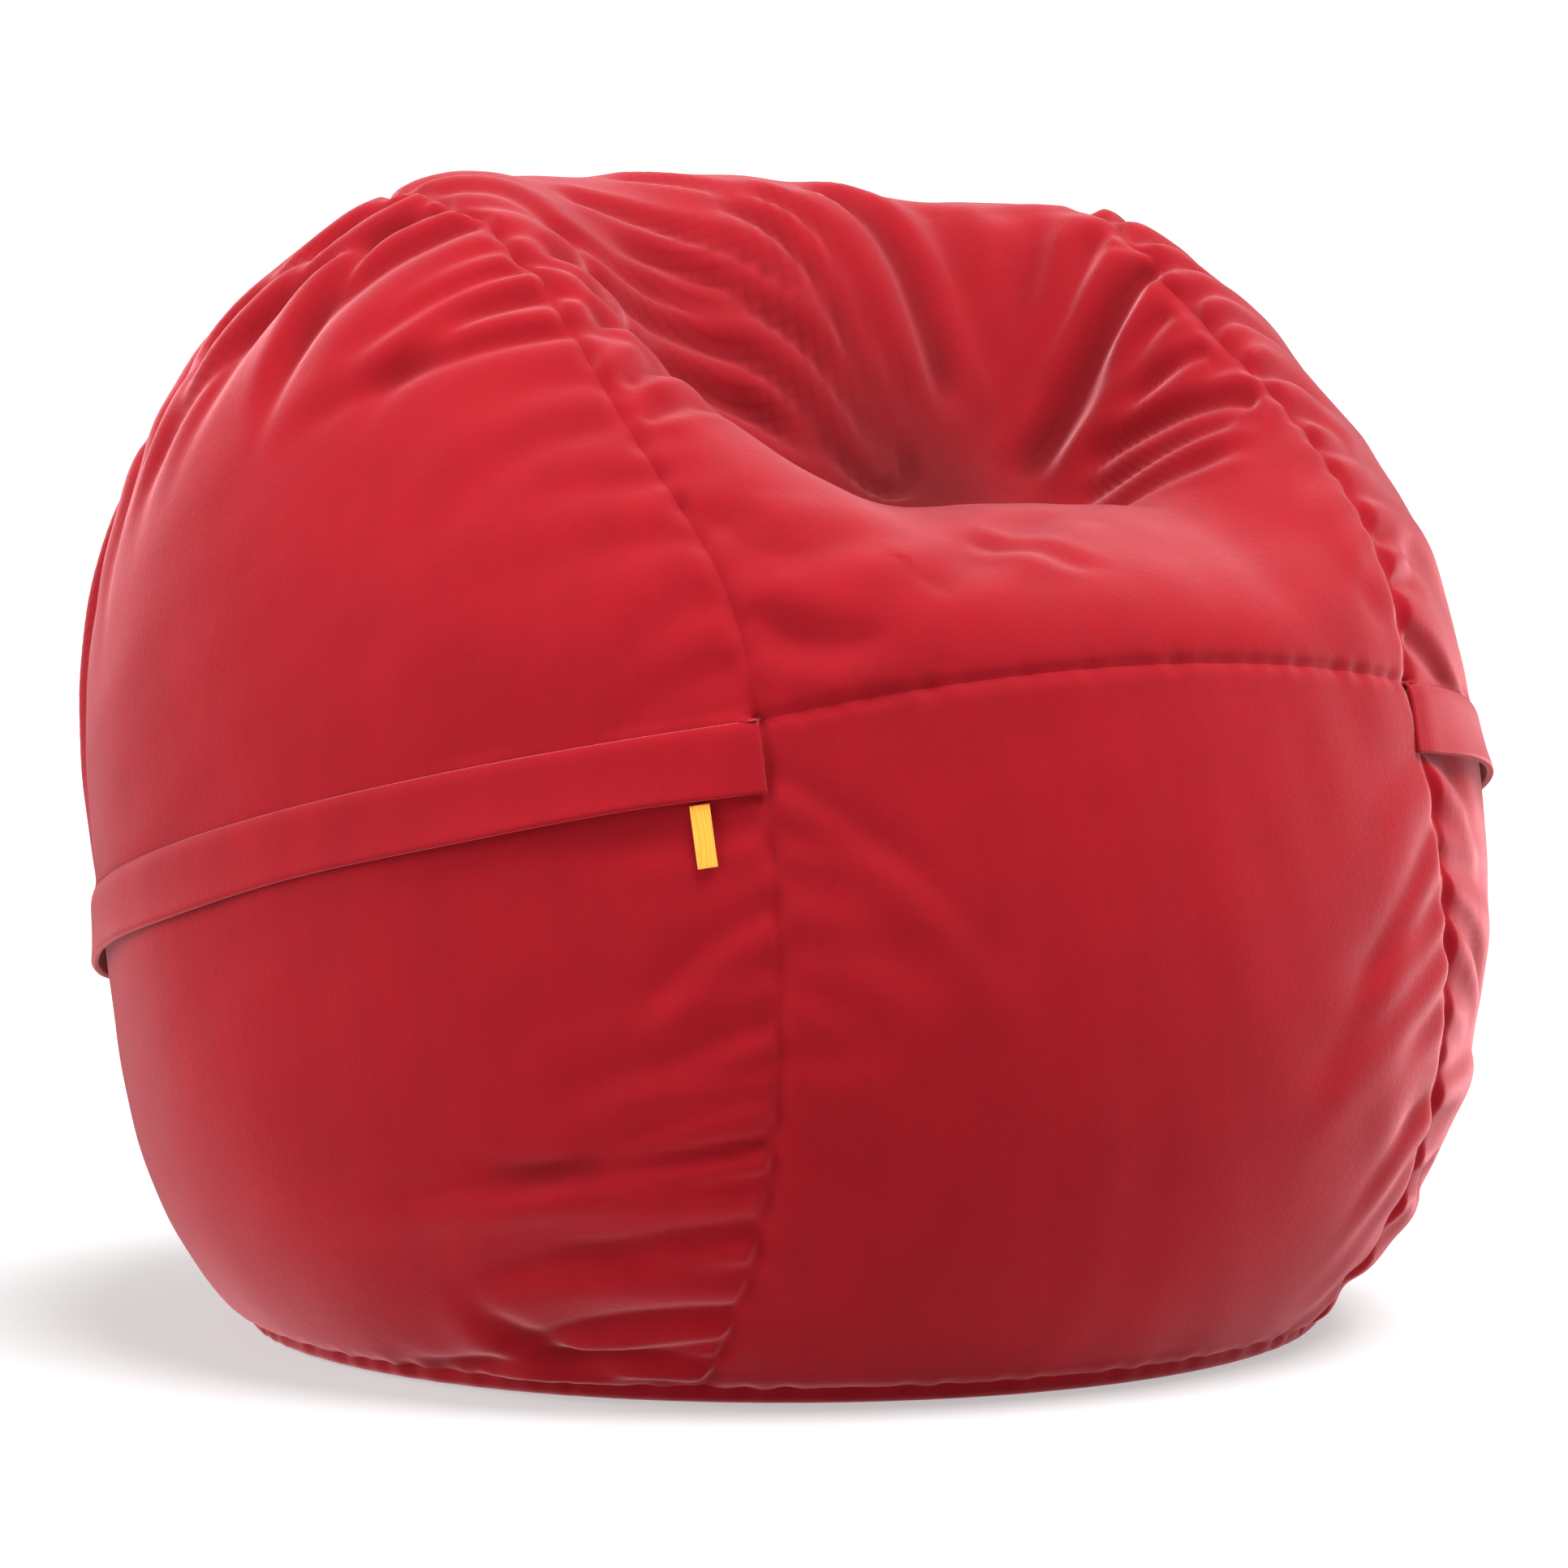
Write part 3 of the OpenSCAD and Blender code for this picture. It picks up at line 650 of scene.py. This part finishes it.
# %% Seams and small lumps
GROOVE, SEAM_WEAVE = 2.4 * MM, 3.4 * MM
still = finer(np.stack([hold, hold, hold], 1))[:, 0]
AFTER_CLOTH = 0.85
free = AFTER_CLOTH * (1 - smooth(0.7, 1.0, still)) * smooth(0, 16 * MM, fine_reach["base"][0])
free = free * smooth(0, 10 * MM, fine_reach["flap"][0])
push = push + 1.6 * MM * lumps(fine_rest, 0.26, 51) + 0.5 * MM * lumps(fine_rest, 0.07, 52)
push = push * free
pucker = np.zeros(len(push))
for n, name in enumerate(("left", "right", "cross", "low_left", "low_right", "rear_left",
                          "rear_right", "base")):
    near, where = fine_reach[name]
    pucker -= GROOVE * np.exp(-(near / (4.5 * MM)) ** 2)
    pucker -= 0.8 * MM * (wobble(where, 0.03, 90 + n) + 1) * np.exp(-(near / (8 * MM)) ** 2)
pucker = pucker * np.where(still > 0.98, smooth(0, 4 * MM, fine_reach["flap"][0]), 1)
zip_zone = finer(np.stack([vertex_panels["open"]] * 3, 1))[:, 0]
pucker = pucker * (1 - smooth(0.2, 0.6, zip_zone))
sideways = np.array([1.0, 0, 0]) - fine_normal * fine_normal[:, :1]
shift = np.zeros(len(push))
for name, seed in (("left", 31), ("right", 32)):
    near, where = fine_reach[name]
    strong = smooth(0.30, 0.42, where) * free
    shift += SEAM_WEAVE * wobble(where, 0.055, seed) * strong * np.exp(-(near / (26 * MM)) ** 2)
body_co = fine_rest + fine_move + fine_normal * (push + pucker)[:, None] + sideways * shift[:, None]
body_co[:, 2] = np.maximum(body_co[:, 2], 0.3 * MM)
carrier.data.vertices.foreach_set("co", body_co.ravel())
carrier.data.update()
print("finished cover from", body_co.min(0).round(3), "to", body_co.max(0).round(3))

# %% [markdown]
# Now the net is parted. Each panel keeps its own faces, and Solidify gives it the thickness of
# backed cloth. The two sides of a seam share their places, so no gap shows.

# %% Part the net into panels
CLOTH_T = 1.5 * MM


def panel_piece(name, panel):
    obj = carrier.copy()
    obj.data = carrier.data.copy()
    obj.name = obj.data.name = name
    bpy.context.scene.collection.objects.link(obj)
    bm = bmesh.new()
    bm.from_mesh(obj.data)
    layer = bm.faces.layers.int["panel"]
    bmesh.ops.delete(bm, geom=[f for f in bm.faces if names[f[layer]] != panel], context="FACES")
    bmesh.ops.remove_doubles(bm, verts=bm.verts, dist=0.02 * MM)
    bm.to_mesh(obj.data)
    bm.free()
    apply(obj, "SOLIDIFY", thickness=CLOTH_T, offset=-1)
    activate(obj)
    bpy.ops.object.shade_smooth_by_angle(angle=math.radians(65))
    return obj


cover_pieces = []
for panel in ("seat", "left_upper", "right_upper", "front", "left_lower", "right_lower", "rear_lower",
              "base"):
    node = panel + "_panel"
    piece = panel_piece(node + "_cloth", panel)
    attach(piece, BAG)
    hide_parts(node)
    cover_pieces.append(piece)
    print(piece.name, len(piece.data.polygons), "faces")
bpy.data.objects.remove(carrier)

# %% [markdown]
# The flap that hides the zip is one long strip, folded double along its hem. It is sewn in at its
# top, hangs over the zip and stands a little away from the cover at the hem, where it makes a
# soft roll. At both ends it sinks into the front panel's seams.

# %% Flap over the zip
FLAP_W = 48 * MM
FLAP_T = 1.3 * MM
FLAP_STEPS, SEWN_IN, SEWN_REACH = 330, 3.6 * MM, 0.011
flap_from, flap_to = math.radians(-30.6), math.radians(33.7)


def flap_piece():
    angle = np.linspace(flap_from, flap_to - 2 * math.pi, FLAP_STEPS + 1)
    length = (angle[0] - angle) * BODY_R
    total = length[-1]
    open_out = smooth(0, 0.09, length) * smooth(0, 0.09, total - length)
    stand = (1.3 + 3.2 * open_out * (1 + 0.25 * wobble(length, 0.35, 61))) * MM
    roll = (1.0 + 0.9 * open_out) * MM
    sunk = SEWN_IN * (bell(length, 0, SEWN_REACH) + bell(total - length, 0, SEWN_REACH))
    hem = FLAP_W - 1.4 * MM - roll - 1.2 * MM * open_out * (1 + wobble(length, 0.22, 62)) / 2
    profile = []
    for d in (0.0, 0.05, 0.15, 0.3, 0.45, 0.6, 0.75, 0.88, 1.0):
        tuck = -2.9 * MM * np.exp(-d / 0.07)
        layer = (3.3 + 0.15 * wobble(length, 0.06, 63)) * MM + tuck - sunk
        profile.append((layer + (stand - 1.3 * MM) * d ** 1.8 + (roll - MM) * d ** 4, hem * d))
    middle = profile[-1][0] - roll
    for turn in (30, 60, 90, 120, 150):
        profile.append((middle + roll * math.cos(math.radians(turn)),
                        hem + roll * math.sin(math.radians(turn))))
    for d in (1.0, 0.88, 0.75, 0.6, 0.45, 0.3, 0.15, 0.05):
        under = 1.75 * MM - sunk + (stand - 1.3 * MM) * d ** 1.8 - 2.0 * MM * math.exp(-d / 0.07)
        profile.append((middle - roll if d == 1.0 else np.minimum(under, middle), hem * d))
    co = [place((BODY_R + r) * np.sin(angle), -(BODY_R + r) * np.cos(angle), -down + 0 * angle)
          for r, down in profile]
    co = np.stack(co, 1)
    rows = len(profile)
    ids = np.arange((FLAP_STEPS + 1) * rows).reshape(FLAP_STEPS + 1, rows)
    polygons = [(ids[k, r], ids[k, r + 1], ids[k + 1, r + 1], ids[k + 1, r])
                for k in range(FLAP_STEPS) for r in range(rows - 1)]
    obj = mesh_object("zip_flap_cloth", co.reshape(-1, 3), polygons)
    apply(obj, "SUBSURF", levels=1, render_levels=1)
    bm = bmesh.new()
    bm.from_mesh(obj.data)
    outward = next(iter(bm.faces))
    if outward.normal.dot(outward.calc_center_median() - Vector((0, 0, 0.35))) < 0:
        bmesh.ops.reverse_faces(bm, faces=bm.faces)
    bm.to_mesh(obj.data)
    bm.free()
    apply(obj, "SOLIDIFY", thickness=FLAP_T, offset=0)
    activate(obj)
    bpy.ops.object.shade_smooth()
    return obj, float(total)


flap, flap_length = flap_piece()
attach(flap, BAG)
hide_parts("zip_flap")
cover_pieces.append(flap)
print("flap is", round(flap_length, 3), "m long")

# %% [markdown]
# The ribbon label hangs from under the hem on one side of the front. It is a short strip of woven
# ribbon, left plain. It rides on its own body, because it can be flipped up.

# %% Ribbon label
LABEL_W, LABEL_L, LABEL_T = 13 * MM, 41 * MM, 0.7 * MM
LABEL_COLS, LABEL_ROWS = 8, 20
label_angle = math.radians(-36)


def label_piece():
    across, along = np.meshgrid(np.linspace(-0.5, 0.5, LABEL_COLS + 1),
                                np.linspace(0, 1, LABEL_ROWS + 1), indexing="ij")
    curve = 0.5 * MM * np.sin(np.pi * along) + 0.25 * MM * np.cos(2 * np.pi * across)
    out = BODY_R + 1.9 * MM + curve
    turn = label_angle + across * LABEL_W / BODY_R
    flat = place(out * np.sin(turn), -out * np.cos(turn), -FLAP_W - 0.9 * MM - along * LABEL_L)
    ids = np.arange(across.size).reshape(across.shape)
    polygons = [(ids[i, j], ids[i, j + 1], ids[i + 1, j + 1], ids[i + 1, j])
                for i in range(LABEL_COLS) for j in range(LABEL_ROWS)]
    obj = mesh_object("ribbon_label_cloth", flat.reshape(-1, 3), polygons)
    apply(obj, "SOLIDIFY", thickness=LABEL_T, offset=0)
    apply(obj, "BEVEL", width=0.15 * MM, segments=2)
    activate(obj)
    bpy.ops.object.shade_smooth_by_angle(angle=math.radians(40))
    return obj


label = label_piece()
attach(label, "label")
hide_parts("ribbon_label")
print("label", label.dimensions[:])

# %% [markdown]
# The liner and the beads are inside, where only an opened zip shows them. They are made from a
# coarse copy of the net, moved inwards so far that the cover's deepest fold stays clear of them.

# %% Liner and beads
inner_net = Net(band_cols=22, side_cols=14, top_rows=44, side_rows=16)
inner_normal = normals_of(inner_net.co, inner_net.faces)
LINER_IN, BEADS_IN, INSIDE_FLOOR = 26 * MM, 29 * MM, 16 * MM
LINER_T, BAND_HALF = 1 * MM, 0.27


def inside(name, depth, panels, floor):
    co = inner_net.co - inner_normal * depth
    rim = inner_net.side_id[:, inner_net.base_row:]
    co[rim.ravel()] = inner_net.co[rim.ravel()] * np.array([0.93, 0.93, 1])
    co[:, 2] = np.maximum(co[:, 2], floor)
    keep = np.isin(inner_net.panels, panels)
    obj = mesh_object(name, co, inner_net.faces[keep])
    bm = bmesh.new()
    bm.from_mesh(obj.data)
    bmesh.ops.delete(bm, geom=[v for v in bm.verts if not v.link_faces], context="VERTS")
    bmesh.ops.remove_doubles(bm, verts=bm.verts, dist=0.05 * MM)
    bm.to_mesh(obj.data)
    bm.free()
    activate(obj)
    bpy.ops.object.shade_smooth()
    return obj


LINER = {"liner_left_side": ["left_upper", "left_lower"],
         "liner_right_side": ["right_upper", "right_lower"],
         "liner_centre_band": ["seat", "front", "rear_lower", "open"]}
liner_pieces = []
open_faces = inner_net.panels == "open"
middle_x, middle_y = inner_net.co[inner_net.faces].mean(1)[:, :2].T
inner_net.panels[open_faces & (middle_y > 0) & (np.abs(middle_x) < BAND_HALF)] = "rear_lower"
inner_net.panels[(inner_net.panels == "open") & (middle_x < 0)] = "left_lower"
inner_net.panels[(inner_net.panels == "open") & (middle_x > 0)] = "right_lower"
for node, panels in LINER.items():
    piece = inside(node + "_cloth", LINER_IN, panels, INSIDE_FLOOR - 2 * MM)
    cloth_area = sum(p.area for p in piece.data.polygons)
    apply(piece, "SOLIDIFY", thickness=LINER_T, offset=-1)
    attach(piece, BAG)
    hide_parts(node)
    liner_pieces.append(piece)
    print(piece.name, "cloth", round(cloth_area, 3), "square metres")
beads = inside("bead_filling_heap", BEADS_IN, [p for p in names if p != "open"], INSIDE_FLOOR)
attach(beads, BAG)
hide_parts("bead_filling")

# %% [markdown]
# Finishes are made of nodes. One small class stands for a socket, so that sums can be written as
# sums, and one method makes any other node.

# %% Node helpers


class Wire:
    """A socket whose values can be added, taken away, multiplied and divided."""

    def __init__(self, finish, socket):
        self.finish, self.socket = finish, socket

    def math(self, operation, a, b):
        return self.finish.node("ShaderNodeMath", {"operation": operation}, {0: a, 1: b})

    def __add__(self, other):
        return self.math("ADD", self, other)

    def __sub__(self, other):
        return self.math("SUBTRACT", self, other)

    def __rsub__(self, other):
        return self.math("SUBTRACT", other, self)

    def __mul__(self, other):
        return self.math("MULTIPLY", self, other)

    def __truediv__(self, other):
        return self.math("DIVIDE", self, other)

    __radd__ = __add__
    __rmul__ = __mul__


def socket_name(key):
    return key.replace("_", " ").title().replace("Ior", "IOR")


class Finish:
    """A material, its shader and the one method that adds nodes."""

    def __init__(self, name, **constants):
        self.material = bpy.data.materials.new(name)
        self.material.use_nodes = True
        self.tree = self.material.node_tree
        self.shader = self.tree.nodes["Principled BSDF"]
        for key, value in constants.items():
            self.shader.inputs[socket_name(key)].default_value = value

    def node(self, kind, settings=None, sockets=None, out=0):
        made = self.tree.nodes.new(kind)
        for key, value in (settings or {}).items():
            setattr(made, key, value)
        for key, value in (sockets or {}).items():
            if isinstance(value, Wire):
                self.tree.links.new(value.socket, made.inputs[key])
            else:
                made.inputs[key].default_value = value
        return Wire(self, made.outputs[out])

    def place(self):
        return self.node("ShaderNodeTexCoord", out="Object")

    def noise(self, where, scale, detail=2.0, rough=0.5):
        return self.node("ShaderNodeTexNoise", None, {"Vector": where, "Scale": scale,
                                                      "Detail": detail, "Roughness": rough})

    def mix(self, share, first, second):
        return self.node("ShaderNodeMix", {"data_type": "RGBA"}, {0: share, 6: first, 7: second}, 2)

    def bump(self, height, distance, strength=1.0):
        return self.node("ShaderNodeBump", None, {"Height": height, "Distance": distance,
                                                  "Strength": strength})

    def set(self, **wires):
        for key, wire in wires.items():
            self.tree.links.new(wire.socket, self.shader.inputs[socket_name(key)])
        return self

    def wear(self, *objects):
        for obj in objects:
            obj.data.materials.clear()
            obj.data.materials.append(self.material)


# %% [markdown]
# The cover is microsuede: a dense short nap that looks dark where it faces you and pale where you
# see it edge-on, which the shader's sheen gives. Hands and sitting brush the nap one way or the
# other, so its red changes a little in large soft patches and in fine mottling. Deep in the
# creases and in the seat's pocket the red is made darker as painted shade.

# %% Red microsuede
suede = Finish("red_microsuede", roughness=0.85, sheen_weight=1.0, sheen_roughness=0.33,
               sheen_tint=(1.0, 0.40, 0.44, 1), specular_ior_level=0.12)
where = suede.place()
patches = suede.noise(where, 4.5, 3.0, 0.6)
stretched = suede.node("ShaderNodeMapping", None, {"Vector": where, "Scale": (30, 30, 9)})
brushed = suede.noise(stretched, 1.0, 3.0, 0.6)
mottle = suede.noise(where, 190.0, 3.0, 0.7)
fuzz = suede.noise(where, 1500.0, 2.0, 0.6)
share = patches * 0.5 + brushed * 0.35 + mottle * 0.3 - 0.1
red = suede.mix(share, (0.17, 0.0008, 0.004, 1), (0.36, 0.004, 0.011, 1))
# Painted shade: the attribute darkens the red towards near-black deep in the creases and in the
# seat's pocket.
painted_crease_shade = suede.node("ShaderNodeAttribute", {"attribute_name": "painted_crease_shade"}, out="Fac")
red = suede.mix(painted_crease_shade * 0.85, red, (0.07, 0.0003, 0.0012, 1))
suede.set(base_color=red, roughness=mottle * 0.2 + 0.75,
          normal=suede.bump(fuzz * 0.6 + mottle * 0.6, 0.5 * MM, 0.8))
suede.wear(*cover_pieces)

# %% [markdown]
# The label is woven ribbon. Two sets of waves, across and along, make its ribs; they read the
# piece's own place turned square to the label.

# %% Woven ribbon
ribbon = Finish("woven_ribbon", roughness=0.55, sheen_weight=0.3, sheen_roughness=0.3)
turned = ribbon.node("ShaderNodeMapping", None,
                     {"Vector": ribbon.place(), "Rotation": (math.radians(15.8), 0, label_angle)})
ribs = ribbon.node("ShaderNodeTexWave", {"wave_type": "BANDS", "bands_direction": "Z"},
                   {"Vector": turned, "Scale": 420.0, "Distortion": 0.4})
warp = ribbon.node("ShaderNodeTexWave", {"wave_type": "BANDS", "bands_direction": "X"},
                   {"Vector": turned, "Scale": 330.0, "Distortion": 0.3})
weave = ribs * 0.6 + warp * 0.4
ribbon.set(base_color=ribbon.mix(weave, (0.80, 0.27, 0.012, 1), (0.98, 0.45, 0.035, 1)),
           roughness=0.65 - weave * 0.2, normal=ribbon.bump(weave, 0.15 * MM, 0.8))
ribbon.wear(label)

# %% [markdown]
# The liner is a plain white taffeta with a fine weave. The beads are small white balls, drawn as
# round cells.

# %% Liner cloth and beads
taffeta = Finish("white_taffeta", roughness=0.6)
weave = taffeta.node("ShaderNodeTexWave", {"bands_direction": "X"},
                     {"Vector": taffeta.place(), "Scale": 700.0, "Distortion": 1.0})
thread = taffeta.node("ShaderNodeTexWave", {"bands_direction": "Z"},
                      {"Vector": taffeta.place(), "Scale": 700.0, "Distortion": 1.0})
mesh_share = weave * 0.5 + thread * 0.5
taffeta.set(base_color=taffeta.mix(mesh_share, (0.68, 0.67, 0.65, 1), (0.85, 0.84, 0.82, 1)),
            roughness=mesh_share * 0.2 + 0.5, normal=taffeta.bump(mesh_share, 0.1 * MM, 0.5))
taffeta.wear(*liner_pieces)

balls = Finish("foam_beads", roughness=0.7)
cells = balls.node("ShaderNodeTexVoronoi", None, {"Vector": balls.place(), "Scale": 260.0})
# Painted shade: each round cell turns grey towards its edge, where the balls meet.
balls.set(base_color=balls.mix(cells, (0.93, 0.93, 0.92, 1), (0.62, 0.62, 0.62, 1)),
          normal=balls.bump(1 - cells, 2 * MM, 0.8))
balls.wear(beads)

# %% [markdown]
# The zips stay as the CAD made them. Their tapes get a woven finish, their coils a row of teeth,
# and the slider and stops a lightly scratched metal.

# %% Zip finishes


def woven(name, dark, light, scale=500.0):
    cloth = Finish(name, roughness=0.7)
    band = cloth.node("ShaderNodeTexWave", {"bands_direction": "DIAGONAL"},
                      {"Vector": cloth.place(), "Scale": scale, "Distortion": 2.0})
    spots = cloth.noise(cloth.place(), 240.0, 3.0)
    share = band * 0.6 + spots * 0.4
    return cloth.set(base_color=cloth.mix(share, dark, light), roughness=spots * 0.3 + 0.55,
                     normal=cloth.bump(share, 0.15 * MM, 0.7))


def toothed(name, dark, light):
    coil = Finish(name, roughness=0.4)
    teeth = coil.node("ShaderNodeTexVoronoi", None, {"Vector": coil.place(), "Scale": 620.0})
    # Painted shade: the coil's colour darkens towards the edge of each tooth, between the teeth.
    return coil.set(base_color=coil.mix(teeth, light, dark), roughness=teeth * 0.3 + 0.3,
                    normal=coil.bump(1 - teeth, 0.5 * MM, 0.9))


metal = Finish("zip_metal", metallic=1.0, roughness=0.3)
scratches = metal.noise(metal.node("ShaderNodeMapping", None,
                                   {"Vector": metal.place(), "Scale": (200, 200, 2400)}), 1.0, 4.0)
metal.set(base_color=metal.mix(scratches, (0.42, 0.41, 0.40, 1), (0.66, 0.65, 0.63, 1)),
          roughness=scratches * 0.25 + 0.22, normal=metal.bump(scratches, 0.05 * MM, 0.4))
CAD_FINISHES = {
    woven("red_zip_tape", (0.16, 0.002, 0.006, 1), (0.30, 0.006, 0.014, 1)): [
        "zip_tape_upper", "zip_tape_lower"],
    toothed("red_zip_coil", (0.12, 0.002, 0.005, 1), (0.34, 0.01, 0.02, 1)): [
        "zip_coil_upper", "zip_coil_lower"],
    woven("white_zip_tape", (0.62, 0.61, 0.59, 1), (0.82, 0.81, 0.79, 1)): [
        "liner_zip_tape_front", "liner_zip_tape_rear"],
    toothed("white_zip_coil", (0.5, 0.5, 0.49, 1), (0.85, 0.85, 0.84, 1)): [
        "liner_zip_coil_front", "liner_zip_coil_rear"],
    metal: ["zip_end_stops", "zip_slider", "liner_zip_end_stops", "liner_zip_slider"],
    taffeta: ["liner_base"]}
for finish, nodes in CAD_FINISHES.items():
    finish.wear(*[frame["nodes"][n] for n in nodes])
print("finishes", len(bpy.data.materials))

# %% [markdown]
# The studio is a wide pale floor under even white light. A strong soft light comes from high in
# front, and two weaker ones come in low from the sides, so that the front panel stays darkest. The
# camera stands low in front of one corner, far away with a long lens, so that the chair isn't
# distorted.

# %% Camera, floor and light
scene = bpy.context.scene
AZIMUTH, DISTANCE, EYE, TILT = math.radians(-29.5), 8.0, 1.308, math.radians(6.72)
cam_data = bpy.data.cameras.new("camera")
camera = bpy.data.objects.new("camera", cam_data)
scene.collection.objects.link(camera)
camera.location = (math.sin(AZIMUTH) * DISTANCE, -math.cos(AZIMUTH) * DISTANCE, EYE)
camera.rotation_euler = (math.pi / 2 - TILT, 0, AZIMUTH)
cam_data.lens, cam_data.sensor_width, cam_data.clip_end = 272.4, 36, 120
scene.camera = camera

bpy.ops.mesh.primitive_plane_add(size=90, location=(0, 0, 0))
floor = bpy.context.active_object
floor.name = "floor"
pale = Finish("pale_floor", roughness=0.9, base_color=(0.38, 0.38, 0.38, 1), specular_ior_level=0.1,
              emission_color=(1, 1, 1, 1), emission_strength=0.45)
pale.wear(floor)

world = bpy.data.worlds.new("studio")
scene.world = world
world.use_nodes = True
sky = world.node_tree.nodes["Background"].inputs
sky["Color"].default_value, sky["Strength"].default_value = (1, 1, 1, 1), 0.18


def sun(name, azimuth, height, softness, power):
    """An even light from far away: azimuth 0 is in front, 90 on the left; all in degrees."""
    data = bpy.data.lights.new(name, "SUN")
    data.energy, data.angle = power, math.radians(softness)
    obj = bpy.data.objects.new(name, data)
    scene.collection.objects.link(obj)
    turn, up = math.radians(azimuth), math.radians(height)
    way = Vector((-math.sin(turn) * math.cos(up), -math.cos(turn) * math.cos(up), math.sin(up)))
    obj.rotation_euler = way.to_track_quat("Z", "Y").to_euler()


sun("top", -35, 70, 40, 6.4)
sun("left", 110, 18, 60, 3.6)
sun("right", -95, 28, 60, 1.4)
scene.view_settings.view_transform = "Standard"
print("camera at", [round(c, 2) for c in camera.location])
